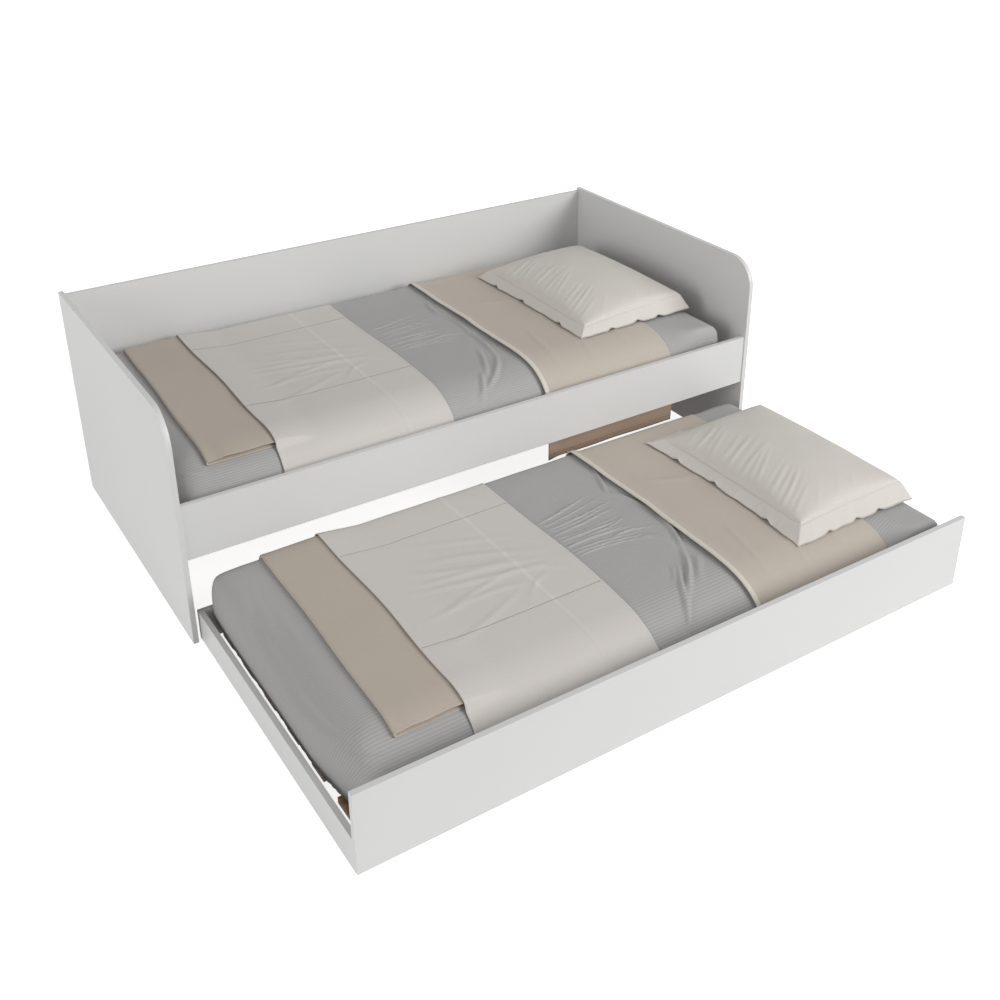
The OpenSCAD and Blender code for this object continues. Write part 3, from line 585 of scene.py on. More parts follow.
# The coverlet's seam is a pale line 8 mm wide that fades towards the front
seam_at = 690.0
tree = cover_cotton.node_tree
from_seam = maths(tree, "ABSOLUTE", maths(tree, "SUBTRACT", flat_axis(tree, "X"), seam_at * MM))
on_seam = ramped(tree, from_seam, 0.003, 0.007, 0.34, 0.0)
painted(tree, maths(tree, "MULTIPLY", on_seam, ramped(tree, flat_axis(tree, "Y"), -0.34, -0.15)), "#e6e2de")

# Where the upper throw's front end hangs down below the rail it is painted darker tan, as painted shade
tree = throw_cotton.node_tree
painted(tree, ramped(tree, flat_axis(tree, "Y"), -0.552, -0.556), "#a8927f")
print("cloths:", ribbed.name, satin.name, cover_cotton.name, throw_cotton.name, linen.name)

# %% [markdown]
# ## The mattress
# The mattress is a foam block in a ticking bag, tight and slightly puffed. It could be a box with rounded
# edges, but a bag blown up against its own seams has a fullness that no bevel gives. So a shape a little
# smaller than the finished one is remeshed evenly, blown up as cloth for a few frames, and held to a limit,
# which keeps it inside its sheet. It is made once and copied, because both beds have the same one.

# %% A box cut into cells
def shell(us, vs, ws):
    """Corners and faces of a box cut up at these places, with each corner made once."""
    cuts = (us, vs, ws)
    last = [len(c) - 1 for c in cuts]
    number, corners, faces = {}, [], []
    for fixed in range(3):
        a, b = (fixed + 1) % 3, (fixed + 2) % 3
        for side in (0, last[fixed]):
            for i in range(last[a]):
                for j in range(last[b]):
                    face = []
                    for p, q in ((i, j), (i + 1, j), (i + 1, j + 1), (i, j + 1)):
                        key = [0, 0, 0]
                        key[fixed], key[a], key[b] = side, p, q
                        key = tuple(key)
                        if key not in number:
                            number[key] = len(corners)
                            corners.append([cut[k] for cut, k in zip(cuts, key)])
                        face.append(number[key])
                    faces.append(face if side else face[::-1])
    return np.array(corners), faces


box, faces = shell(spread(0, 40, length), spread(0, 40, width), spread(-1, 0.4, 1))
print("a coarse mattress has", len(faces), "faces")

# %% Blow up cloth for a few frames
def blow_up(obj, pressure, limit_mm, stiffness=15.0, group="", frames=12):
    """Cloth with air in it, for a few frames. No point may move further than the limit."""
    before = points(obj)
    fabric = modify(obj, "CLOTH")
    settings = fabric.settings
    settings.quality = 5
    settings.mass = 0.3
    settings.tension_stiffness = settings.compression_stiffness = stiffness
    settings.shear_stiffness = stiffness / 3
    settings.bending_stiffness = 0.5
    settings.use_pressure = True
    settings.uniform_pressure_force = pressure
    settings.vertex_group_pressure = group
    settings.effector_weights.gravity = 0
    fabric.collision_settings.use_collision = False
    fabric.point_cache.frame_start, fabric.point_cache.frame_end = 1, frames
    for number in range(1, frames + 1):
        bpy.context.scene.frame_set(number)
    pick(obj)
    bpy.ops.object.modifier_apply(modifier=fabric.name)
    bpy.context.scene.frame_set(1)
    moved = points(obj) - before
    far = np.linalg.norm(moved, axis=1)
    held = np.minimum(1, limit_mm * MM / np.maximum(far, 1e-9))
    place(obj, before + moved * held[:, None])
    print(obj.name, "swelled by", *(round(float(v) / MM, 1) for v in (np.median(far), far.max())), "mm")


before_air = -13.0      # how much smaller the bag is before it swells
start, _, flat_places = over_mattress(box, before_air, "upper")
mattress = cloth("mattress_bag", start * MM, faces, flat_places, ticking)
applied(mattress, "REMESH", mode="VOXEL", voxel_size=18 * MM)
blow_up(mattress, pressure=0.5, limit_mm=11.0)
applied(mattress, "SUBSURF", levels=1, render_levels=1)
print("mattress has", len(mattress.data.polygons), "faces")

# %% [markdown]
# Remeshing lost the flat places, so the ticking gets new ones from the points themselves: it is woven in
# the plane of the bed. Both beds have the same mattress, but the low bed's is fuller in its middle.

# %% One mattress for each bed
body_of_bed = {"upper": "bed_frame", "trundle": "trundle"}
base_shape = points(mattress).copy()
for bed in body_of_bed:
    padding = copy_of(mattress, bed + "_mattress_bag")
    fuller = (crown[bed] - crown["upper"]) * fullness(base_shape[:, :2] / MM - middle) * MM
    shape = base_shape.copy()
    shape[:, 2] += fuller * np.clip(shape[:, 2] / (thick * MM), 0, 1)
    place(padding, shape + bed_corner[bed])
    flat_map(padding, base_shape[:, :2] / MM)
    padding.data.materials.clear()
    padding.data.materials.append(ticking)
    padding.data.shade_smooth()
    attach(padding, body_of_bed[bed])
    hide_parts(bed + "_mattress")
bpy.data.objects.remove(mattress)
print("mattresses copied")

# %% [markdown]
# ## The fitted sheet
# The sheet is one ribbed cloth, pulled over the top and the ends and turned under by its elastic. Its ribs
# run along the bed and down over the foot. It is a finer box wrapped on the same form, without the middle
# of its underside. Between the coverlet and the throw it is creased: fourteen ridges fan out from the middle
# and meet a crumpled line beside the throw. Its rows lie closer there. Near the elastic it is gathered.

# %% Creases of the bare band
def fan_ridges(count=12):
    """Ridges that start side by side under the coverlet's edge and open a little, high and low by turns."""
    chance = np.random.default_rng(8)
    strokes = []
    for number in range(count):
        share = number / (count - 1)
        start = np.array([838, 388 + 186 * share + chance.uniform(-6, 6)])
        end = np.array([1080 + chance.uniform(-42, 32), 358 + 264 * share + chance.uniform(-14, 14)])
        bend = np.array([0, 12 * math.cos(1.35 * math.pi * share) + chance.uniform(-6, 6)])
        high = (6.6 if number % 2 else 4.0) + chance.uniform(-1.4, 0.8)
        strokes.append((start, start + 0.45 * (end - start) + bend, end, 4.4, high))
    return strokes


fan = fan_ridges() + [
    ((900, 450), (990, 455), (1070, 475), 4, 4.0),
    ((980, 410), (1040, 415), (1115, 395), 5, 5.0),
]
crumple = {
    "upper": [
        ((1135, 690), (1115, 620), (1120, 545), 10, 6.0),
        ((1115, 560), (1130, 470), (1120, 380), 9, 6.5),
        ((1120, 400), (1120, 300), (1100, 185), 10, 7.5),
        ((1105, 200), (1060, 130), (965, 60), 10, 7.5),
        ((1080, 270), (1050, 180), (1010, 115), 9, 6.0),
        ((1000, 130), (980, 90), (930, 20), 10, 7.0),
    ],
    "trundle": [
        ((1170, 750), (1130, 655), (1110, 600), 8, 6.5),
        ((1110, 605), (1140, 555), (1160, 470), 10, 5.5),
        ((1165, 440), (1150, 355), (1110, 260), 9, 7.5),
        ((1110, 270), (1070, 190), (1000, 120), 9, 9.0),
        ((1010, 130), (970, 90), (930, 30), 8, 8.0),
        ((1060, 225), (1010, 150), (945, 75), 7.5, 7.0),
        ((1045, 230), (1025, 195), (1000, 160), 9, 3.5),
        ((1045, 370), (1090, 350), (1105, 275), 12, 4.0),
        ((1135, 230), (1105, 190), (1065, 140), 13, 3.5),
    ],
}
end_folds = [
    ((45, 805), (20, 640), (10, 420), 12, 4.0),
    ((10, 460), (5, 300), (30, 130), 12, 4.5),
    ((70, 780), (50, 600), (45, 360), 11, 2.6),
    ((45, 420), (40, 260), (65, 100), 11, 3.2),
    ((95, 700), (85, 520), (85, 340), 10, 1.8),
    ((25, 120), (50, 85), (95, 65), 8, 4.0),
]
fan_share = {"upper": 0.6, "trundle": 0.88}
print(len(fan), "ridges in the fan")

# %% Wrap the sheet
along_cuts = spread(0, 10, 310, 24, 836, 4.4, 1164, 24, 1620, 12, length)
across_cuts = spread(0, 6.8, 372, 2.7, 630, 6.8, width)
box, faces = shell(along_cuts, across_cuts, spread(-1, 0.14, 1))
turn_in = 92.0                         # how far its elastic edge comes in below
bare_from, bare_to = 838.0, 1172.0     # it lies bare between the coverlet and the throw
sheet_gap, sheet_thick = 1.2, 0.9
cells = box[np.array(faces)]
under = (cells[:, :, 2].max(1) < -0.99)
for axis, size in enumerate((length, width)):
    under &= (cells[:, :, axis].min(1) > turn_in) & (cells[:, :, axis].max(1) < size - turn_in)
faces = np.array(faces)[~under]
used, faces = np.unique(faces, return_inverse=True)
box, faces = box[used], faces.reshape(-1, 4).tolist()
for bed in body_of_bed:
    _, _, flat_places = over_mattress(box, 0.0, bed)
    along, across = flat_places.T
    foot_side, level = box[:, 0], box[:, 2]
    past_coverlet = smooth_step(foot_side, bare_from, bare_from + 24)
    before_throw = 1 - smooth_step(foot_side, bare_to - 22, bare_to)
    bare = past_coverlet * before_throw * smooth_step(level, 0.2, 0.9)
    ridges = (fan_share[bed] * creases(along, across, fan) + creases(along, across, crumple[bed])) * bare
    slack = ripple(along, across, (160, 90), 4) * 0.7 * bare
    at_foot = smooth_step(level, -0.6, 0.2) * (1 - smooth_step(foot_side, 90, 150))
    folds = creases(along, across, end_folds) * at_foot
    low_down = (1 - smooth_step(level, -0.95, 0.1)) * (level > -0.98)
    gathers = np.sin((along + across) / 5.2 + 2 * np.sin(along / 37) + np.sin(across / 29)) * 1.6 * low_down
    raised = np.maximum(ridges + slack + folds, -sheet_thick) + gathers
    wrapped, _, _ = over_mattress(box, sheet_gap + raised, bed)
    sheet = cloth(bed + "_ribbed_sheet", to_bed(wrapped, bed), faces, flat_places, ribbed)
    applied(sheet, "SOLIDIFY", thickness=sheet_thick * MM, offset=-1.0)
    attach(sheet, body_of_bed[bed])
    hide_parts(bed + "_fitted_sheet")
    print(sheet.name, len(sheet.data.polygons), "faces")

# %% [markdown]
# ## Covers
# A cover lies across the bed and hangs a little way down both sides. `cover` makes one from rows along the
# bed and columns across it: it is placed on the form, raised by its own creases and lifted edges, and then
# given its thickness. Where one cover lies over the edge of another its edge is lifted, and that gap's
# shadow is what separates the two.

# %% A cover from rows and columns
cover_thick = 2.2
cover_level = 4.2       # how high a cover's outer face stands over the mattress
resting_level = 5.0     # how high over the mattress the pillows lie


def mesh_places(rows, columns):
    return (a.ravel() for a in np.meshgrid(rows, columns, indexing="ij"))


def cover(name, bed, rows, columns, raised, material, shift):
    """rows: places along. columns: places across. raised(along, across) gives the outer face's height."""
    along, across = mesh_places(rows, columns)
    where, _ = across_bed(along + shift(along, across), across, raised(along, across), bed)
    flat_places = np.column_stack([along, across])
    obj = cloth(name, to_bed(where, bed), grid_faces(len(rows), len(columns)), flat_places, material)
    applied(obj, "SOLIDIFY", thickness=cover_thick * MM, offset=-1.0, use_even_offset=True)
    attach(obj, body_of_bed[bed])
    return obj


def rolled_hem(places, edges, wide=4.0, high=0.9):
    """A folded hem is a low ridge just inside each edge."""
    return sum(high * np.exp(-((places - e) / wide) ** 2) for e in edges)


front_hang, back_hang = front_girth + 6, back_girth + 6
print("a cover is", round(front_hang + back_hang), "mm across when it lies flat")

# %% [markdown]
# ## The foot blanket
# The satin blanket lies folded in two at the foot, with the fold towards the foot end and its cut ends
# towards the front, where both layers show with a dark line between them. It is one sheet that goes along
# the bed below, turns over in a small round, and comes back on top. It ends short of the back, where the
# coverlet goes down alone behind the bed.

# %% Fold the blanket
blanket_end = {"upper": 62.0, "trundle": 74.0}
blanket_fold = {"upper": (142.0, -30.0), "trundle": (148.0, -16.0)}    # where the fold is, and its slant
fold_low, fold_gap = 3.6, 6.8      # how high the lower layer lies, and how far the upper one lies over it
under_cover = 320.0                # where it ends, under the coverlet
back_end = back_hang - 48
below = [(share, fold_low, 0.0) for share in (1.0, 0.0)]
turn_over = [(0.0, fold_low + fold_gap / 2 * (1 - math.cos(a)), -fold_gap / 2 * math.sin(a))
             for a in np.linspace(0, math.pi, 9)[1:-1]]
on_top = [(share, fold_low + fold_gap, 0.0) for share in spread(0.0, 0.04, 1.0)]
# Each row: its share of the way back under the coverlet, its height, and how far it swings out past the fold
blanket_rows = np.array(below + turn_over + on_top)


def folded_blanket(bed):
    front = across_at(blanket_end[bed], bed)
    columns = spread(front, 2, front + 12, 8, back_end)
    share, across = mesh_places(blanket_rows[:, 0], columns)
    level, out = (np.repeat(blanket_rows[:, column], len(columns)) for column in (1, 2))
    start, slant = blanket_fold[bed]
    fold_at = start + slant * (0.5 - across / (front_hang + back_hang)) + 1.5 * np.sin(across / 70)
    along = fold_at + share * (under_cover - fold_at) + out
    upper_layer = smooth_step(level, fold_low, fold_low + fold_gap)
    near_front = 1 - smooth_step(across, front, front + 120)
    across = across + upper_layer * near_front ** 4 * (4 + 1.2 * np.sin(along / 19))
    opening = near_front * (5.4 + 1.0 * np.sin(along / 24)) * smooth_step(along, start - 10, start + 30)
    soft = ripple(along, across, (210, 120), 8) * 0.8
    raised = level + upper_layer * (soft + opening + rolled_hem(across, [front + 7], 3.0, 0.5))
    where, _ = across_bed(along, across, raised, bed)
    flat_along = share * (under_cover - start) * np.where(level > fold_low + fold_gap / 2, 1, -1)
    obj = cloth(bed + "_satin_blanket", to_bed(where, bed), grid_faces(len(blanket_rows), len(columns)),
                np.column_stack([flat_along, across]), satin)
    applied(obj, "SOLIDIFY", thickness=4.6 * MM, offset=0.0)
    applied(obj, "BEVEL", width=1.5 * MM, segments=2, limit_method="ANGLE", angle_limit=math.radians(60))
    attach(obj, body_of_bed[bed])
    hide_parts(bed + "_foot_blanket")
    print(obj.name, len(obj.data.polygons), "faces")
    return front


blanket_front = {bed: folded_blanket(bed) for bed in body_of_bed}

# %% [markdown]
# ## The coverlet
# The coverlet is a plain cotton cloth with hemmed edges, two stitched lines along the bed, and one seam
# across it. Its left edge lies over the blanket. In the field between the stitched lines it is drawn
# towards the seam, and that pull shows as low, wide wrinkles.

# %% Lay the coverlet
cover_left, cover_right = 306.0, 846.0
stitch_lines = (-171.0, 276.0)
pulls = [
    ((790, 15), (635, 95), (470, 140), 15, 3.2),
    ((740, 25), (560, 60), (410, 130), 13, 3.6),
    ((760, -5), (600, 35), (400, 60), 12, 4.0),
    ((770, -40), (620, -10), (370, 40), 13, 4.2),
    ((700, -10), (550, -35), (420, -80), 12, 3.6),
    ((690, -90), (560, -60), (360, -90), 12, 3.4),
    ((745, -70), (690, -90), (640, -150), 10, 3.0),
    ((660, -80), (510, -150), (370, -190), 14, 3.0),
    ((800, -80), (750, -40), (700, 10), 11, 2.3),
    ((780, 120), (620, 175), (470, 240), 15, 2.3),
    ((820, 20), (800, 70), (760, 110), 10, 2.1),
]


def coverlet_height(bed):
    """The coverlet's own relief, on top of the blanket where that lies under it."""
    start = blanket_front[bed]

    def height(along, across):
        over_blanket = 1 - smooth_step(along, under_cover - 6, under_cover + 130)
        has_blanket = smooth_step(across, start - 16, start + 4)
        has_blanket = has_blanket * (1 - smooth_step(across, back_end + 2, back_end + 30))
        opening = 1 - smooth_step(across, start, start + 120)
        blanket = (11.4 + 5.6 * opening) * over_blanket * has_blanket
        wrinkles = 0.62 * creases(along, across, pulls)
        seam = 1.1 * np.exp(-((along - seam_at) / 5) ** 2)
        quilt = -0.5 * sum(np.exp(-((across - line) / 4) ** 2) for line in stitch_lines)
        hem = rolled_hem(along, (cover_left + 4, cover_right - 4))
        lip = 2.0 * (1 - smooth_step(along, cover_left, cover_left + 50))
        soft = ripple(along, across, (260, 150), 21) * 0.7 * (1 - over_blanket)
        return cover_level + blanket + wrinkles + seam + quilt + hem + lip + soft
    return height


def coverlet_edge(along, across):
    """How far the edges wander along the bed."""
    near_left = 1 - smooth_step(along, cover_left, cover_left + 90)
    near_right = smooth_step(along, cover_right - 90, cover_right)
    left = 3.0 * np.sin(across / 75 + 1) - 8 * smooth_step(-across, 300, 470)
    right = 4.0 * np.sin(across / 110 + 2.4) - 6
    return near_left * left + near_right * right


rows = spread(cover_left, 2.4, cover_left + 12, 8, seam_at - 14, 3, seam_at + 14,
              8, cover_right - 12, 2.4, cover_right)
columns = spread(-front_hang, 6.5, back_hang)
for bed in body_of_bed:
    coverlet = cover(bed + "_cotton_coverlet", bed, rows, columns, coverlet_height(bed), cover_cotton,
                     coverlet_edge)
    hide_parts(bed + "_coverlet")
    print(coverlet.name, len(coverlet.data.polygons), "faces")

# %% [markdown]
# The stitched lines are a brown thread, a stitch of 6 mm every 7 mm. A drawn line would be flat, so each
# stitch is a little six-sided bead that follows the coverlet's face and dips into it at both ends.

# %% Stitch along the coverlet
stitch_every, stitch_half, thread_radius = 7.0, 2.9, 0.95
bead = np.array([0.15, 0.8, 1.0, 0.8, 0.15])     # how thick a stitch is along its length
bead_sides = 6


def stitching(name, bed, places, lines, raised, shift):
    centre, line = mesh_places(places, lines)
    rings = len(bead)
    along = (centre[:, None] + np.linspace(-1, 1, rings) * stitch_half).ravel()
    across = np.repeat(line, rings)
    spine, facing = across_bed(along + shift(along, across), across, raised(along, across) + 0.25, bed)
    sideways = np.cross(facing, np.array([1.0, 0.0, 0.0]))
    size = np.tile(bead, len(centre))[:, None] * thread_radius
    angles = [2 * math.pi * side / bead_sides for side in range(bead_sides)]
    corners = [spine + (sideways * math.cos(a) + facing * math.sin(a) * 0.8) * size for a in angles]
    corners = np.stack(corners, 1).reshape(-1, 3)
    index = np.arange(len(corners)).reshape(len(centre), rings, bead_sides)
    turned = np.roll(index, -1, axis=2)
    walls = np.stack([index[:, :-1], turned[:, :-1], turned[:, 1:], index[:, 1:]], -1).reshape(-1, 4)
    ends = index[:, 0, ::-1].tolist() + index[:, -1].tolist()
    chart = np.repeat(np.column_stack([along, across]), bead_sides, axis=0)
    obj = cloth(name, to_bed(corners, bed), walls.tolist() + ends, chart, thread)
    pick(obj)
    bpy.ops.object.mode_set(mode="EDIT")
    bpy.ops.mesh.select_all(action="SELECT")
    bpy.ops.mesh.normals_make_consistent(inside=False)
    bpy.ops.object.mode_set(mode="OBJECT")
    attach(obj, body_of_bed[bed])
    print(obj.name, len(obj.data.polygons), "faces")
    return obj


for bed in body_of_bed:
    stitching(bed + "_coverlet_stitching", bed, np.arange(cover_left + 8, cover_right - 6, stitch_every),
              stitch_lines, coverlet_height(bed), coverlet_edge)

# %% [markdown]
# ## The throw
# The throw is a heavier cotton, bound along its left edge with a 14 mm ivory tape. On the upper bed its
# front end slips down behind the rail and hangs below it, where its hem shows. The bound edge is stiffer
# than the cloth, so it stands a few millimetres off the sheet in slow waves and throws a dark line.

# %% Lay the throw
throw_left, throw_right, tape = 1157.0, 1652.0, 14.0
hem_above_floor = 0.183
widest = bed_corner["upper"][2] + equator * MM
throw_drop = {"upper": front_girth + (widest - hem_above_floor) / MM, "trundle": front_hang}
throw_folds = [
    ((1290, -140), (1270, -240), (1250, -400), 12, 3.0),
    ((1420, -180), (1400, -280), (1372, -420), 13, 2.6),
    ((1240, 160), (1310, 120), (1400, 90), 15, 2.0),
    ((1560, -120), (1540, -240), (1520, -400), 12, 2.2),
]


def throw_height(along, across):
    off_sheet = 1 - smooth_step(along, throw_left, throw_left + 48)
    waves = 0.85 + 0.15 * np.sin(across / 43 + 0.6 * np.sin(across / 90))
    hem = rolled_hem(along, (throw_right - 5,))
    soft = ripple(along, across, (300, 170), 33) * 0.8 * (1 - off_sheet)
    folds = np.maximum(creases(along, across, throw_folds), -0.5)
    lip = 3.0 * (1 - smooth_step(along, throw_left, throw_left + 50)) * (1 - smooth_step(across, 400, 460))
    return cover_level + 6.0 * off_sheet * waves + hem + soft + folds + lip


def throw_edge(along, across):
    """How far the edges wander along the bed. The hanging end swings a little towards the head."""
    near_left = 1 - smooth_step(along, throw_left, throw_left + 110)
    near_right = smooth_step(along, throw_right - 110, throw_right)
    left = 1.2 * np.sin(across / 58 + 0.5) + 0.5 * np.sin(across / 21)
    return near_left * left + near_right * 4 * np.sin(across / 120) + 7 * smooth_step(-across, 470, 540)


def hanging(obj, bed):
    """Below the mattress's widest place the front flap hangs free and bellies in slow folds."""
    where = (points(obj) - bed_corner[bed]) / MM
    drop = smooth_step(-(where[:, 2] - equator), 0, 150) * (where[:, 1] < width / 2)
    fold = 0.5 + 0.5 * np.sin(where[:, 0] / 62 + 1.3 * np.sin(where[:, 0] / 111))
    where[:, 1] -= drop * (1.0 + 3.4 * fold)
    place(obj, to_bed(where, bed))


rows = spread(throw_left, 3, throw_left + 18, 8, throw_right - 12, 3, throw_right)
for bed, drop in throw_drop.items():
    columns = spread(-drop, 3, -drop + 24, 7, back_hang)
    throw = cover(bed + "_cotton_throw", bed, rows, columns, throw_height, throw_cotton, throw_edge)
    if bed == "upper":
        hem_stitches = stitching("upper_throw_hem_stitching", bed,
                                 np.arange(throw_left + 20, throw_right - 6, stitch_every), [16 - drop],
                                 throw_height, throw_edge)
        hanging(throw, bed)
        hanging(hem_stitches, bed)
    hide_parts(bed + "_throw")
    print(throw.name, len(throw.data.polygons), "faces")

# %% Bind its left edge
def binding(bed):
    """A tape folded round the throw's edge, a little fuller than the cloth it holds."""
    section = [(tape, -3.4), (tape * 0.5, -3.6), (2.0, -3.4), (-0.8, -2.2), (-1.6, -0.9), (-0.8, 0.5),
               (2.0, 1.1), (tape * 0.35, 1.3), (tape * 0.7, 1.1), (tape - 1, 0.8), (tape, 0.2)]
    columns = spread(-front_girth - 26, 7, back_hang - 0.5)
    out, level = np.array(section).T
    row_out, across = mesh_places(out, columns)
    along = throw_left + row_out
    edge = np.full(len(along), throw_left)
    stays = throw_height(edge + 2.0, across) * 0.5 + throw_height(along, across) * 0.5
    raised = stays + np.repeat(level, len(columns)) + 0.5
    where, _ = across_bed(along + throw_edge(edge, across), across, raised, bed)
    obj = cloth(bed + "_throw_binding", to_bed(where, bed), grid_faces(len(section), len(columns)),
                np.column_stack([along, across]), binding_satin)
    applied(obj, "SOLIDIFY", thickness=0.7 * MM, offset=0.0)
    if bed == "upper":
        hanging(obj, bed)
    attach(obj, body_of_bed[bed])
    print(obj.name, len(obj.data.polygons), "faces")
    return obj


for bed in throw_drop:
    tape_piece = binding(bed)

# %% [markdown]
# ## The pillows
# The pillow is a linen slip with a flange: two cloths sewn together in a line 52 mm inside their edge, so
# the filled body ends at the seam and a flat border runs on past it. The seam is pulled in between its
# corners, the body stands up from it in a full crown, and the border hangs from it in slow waves. Creases
# run from the long seam up the crown, all leaning the same way, as the filling was pushed to one side.
#
# It is simulated as it is sewn. The upper cloth is one grid, with its crown already in it. The lower cloth
# joins it only along the seam, and air presses on the body alone, which rounds it by a millimetre or so.
# Then the creases are drawn, the border droops, the underside is flattened by the bed, and the border gets
# its two layers back.

# %% Cut the cloths
pillow_box = [(high - low) / MM for low, high in zip(*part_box("trundle_pillow"))]
flange = 52.0
body_long, body_wide = pillow_box[0] - 54, pillow_box[1] - 75
pillow_long, pillow_wide = body_long + 2 * flange, body_wide + 2 * flange
dome_high = 56.0


def pillow_cuts(size):
    """Close together at the seam, with one cut exactly on it."""
    cuts = spread(0, 5, flange - 4, 2, flange + 8, 6.5, size - flange - 8, 2, size - flange + 4, 5, size)
    for seam in (flange, size - flange):
        cuts[np.abs(cuts - seam).argmin()] = seam
    return cuts


p_along, p_across = np.meshgrid(pillow_cuts(pillow_long), pillow_cuts(pillow_wide), indexing="ij")
from_edge = np.minimum.reduce([p_along, pillow_long - p_along, p_across, pillow_wide - p_across])
in_body = from_edge > flange - 0.01
inside = from_edge > flange + 0.01
top_index = np.arange(p_along.size).reshape(p_along.shape)
low_index = top_index.copy()
low_index[inside] = p_along.size + np.arange(inside.sum())
top_faces = np.array(grid_faces(*p_along.shape))
body_faces = top_faces[in_body.ravel()[top_faces].all(1)]
low_faces = low_index.ravel()[body_faces][:, ::-1]
pillow_chart = np.stack([p_along, p_across], -1)
print("pillow", round(pillow_long), "x", round(pillow_wide), "mm,", len(top_faces) + len(low_faces), "cells")

# %% Sew and fill
x = np.clip((p_along - pillow_long / 2) / (pillow_long / 2 - flange), -1, 1)
y = np.clip((p_across - pillow_wide / 2) / (pillow_wide / 2 - flange), -1, 1)
dome = (1 - x ** 2) ** 0.58 * (1 - y ** 2) ** 0.5
drawn_long = (pillow_long / 2 - p_along) * 0.026 * (1 - y ** 2)
drawn_wide = (pillow_wide / 2 - p_across) * 0.016 * (1 - x ** 2)
upper_cloth = np.stack([p_along + drawn_long, p_across + drawn_wide, dome * dome_high], -1)
lower_cloth = upper_cloth * np.array([1, 1, -0.72])
blank = np.concatenate([upper_cloth.reshape(-1, 3), lower_cloth[inside]])
sewn = cloth("sewn_pillow", blank * MM, top_faces.tolist() + low_faces.tolist(),
             np.concatenate([pillow_chart.reshape(-1, 2), pillow_chart[inside]]), linen)
body_group = sewn.vertex_groups.new(name="body")
body_points = np.union1d(body_faces, low_faces)
body_group.add(body_points.tolist(), 1.0, "REPLACE")
blow_up(sewn, pressure=0.35, limit_mm=7.0, stiffness=30.0, group="body")
filled = points(sewn) / MM
bpy.data.objects.remove(sewn)
top_side, low_side = filled[top_index], filled[low_index]
print("seam to crown", round(float(top_side[..., 2].max()), 1), "mm")

# %% [markdown]
# The creases of the crown are strokes like those of the sheet, in the pillow's own places: the first
# number runs from the foot-side edge, the second from the front. Points of the border are turned down by
# how far they lie outside the seam. Then the pillow is set on the covers, where its lower layer follows
# what it lies on.

# %% Creases of the pillow
def crown_creases():
    """Sixteen creases that start at the long seam and lean the same way up the crown, none quite alike."""
    chance = np.random.default_rng(11)
    strokes = []
    for number in range(16):
        start = np.array([48 + chance.uniform(0, 12), 84 + 24.8 * number + 0.41 * number ** 2])
        long = 118 + 78 * math.sin((start[1] - 50) / 520 * math.pi) + chance.uniform(-34, 30)
        lean = math.radians(25 + chance.uniform(-6, 8))
        reach = long * np.array([math.cos(lean), math.sin(lean)])
        sag = np.array([chance.uniform(0, 5), -chance.uniform(1, 9)])
        wide = chance.uniform(5.2, 8.2)
        high = (3.6, 2.0, 4.4, 2.6)[number % 4] + chance.uniform(-0.5, 0.6)
        strokes.append((start, start + reach / 2 + sag, start + reach, wide, high))
    return strokes


pillow_creases = crown_creases() + [
    ((128, 56), (160, 92), (214, 146), 7, 1.4),
    ((206, 56), (232, 88), (276, 128), 6, 0.9),
    ((272, 56), (300, 96), (338, 124), 7, 1.3),
    ((338, 56), (352, 82), (372, 104), 6, 1.1),
    ((396, 56), (404, 78), (418, 100), 6, 0.9),
    ((440, 190), (384, 222), (320, 272), 9, 1.4),
    ((440, 392), (374, 384), (298, 392), 10, 1.4),
    ((440, 516), (384, 496), (320, 486), 9, 1.4),
    ((246, 630), (256, 580), (278, 518), 9, 1.6),
    ((138, 630), (160, 590), (204, 550), 8, 1.6),
    ((356, 630), (344, 592), (322, 550), 8, 1.4),
]
border_creases = [
    ((70, 2), (80, 26), (88, 52), 6, 3.0),
    ((150, 2), (146, 26), (150, 52), 6, 2.4),
    ((262, 0), (268, 26), (262, 52), 7, 2.8),
    ((346, 0), (338, 24), (346, 52), 6, 3.6),
    ((400, 2), (392, 26), (386, 52), 6, 3.0),
    ((2, 100), (24, 108), (52, 104), 6, 3.0),
    ((0, 190), (24, 196), (52, 188), 6, 2.4),
    ((0, 290), (24, 286), (52, 294), 7, 2.8),
    ((0, 400), (24, 406), (52, 400), 7, 2.4),
    ((0, 500), (24, 494), (52, 498), 6, 2.4),
    ((0, 600), (24, 594), (52, 600), 6, 3.0),
]
flat_creases = [p_along.ravel(), p_across.ravel()]
crown_folds = 0.62 * creases(*flat_creases, pillow_creases) + 1.4 * ripple(*flat_creases, (180, 110), 12)
crown_folds = crown_folds.reshape(p_along.shape)
border_folds = creases(*flat_creases, border_creases).reshape(p_along.shape)
print(len(pillow_creases), "creases on the crown,", len(border_creases), "on the border")

# %% Shape the border and rest it on the bed
# Where the border's edge is tucked up, counted along each side from the front foot corner
tucks = {"foot": (158, 385, 548), "head": (140, 330, 520), "front": (147, 260, 346), "back": (150, 330)}
inwards = {"foot": (1, 0), "head": (-1, 0), "front": (0, 1), "back": (0, -1)}
past = {"foot": flange - p_along, "head": p_along - (pillow_long - flange),
        "front": flange - p_across, "back": p_across - (pillow_wide - flange)}


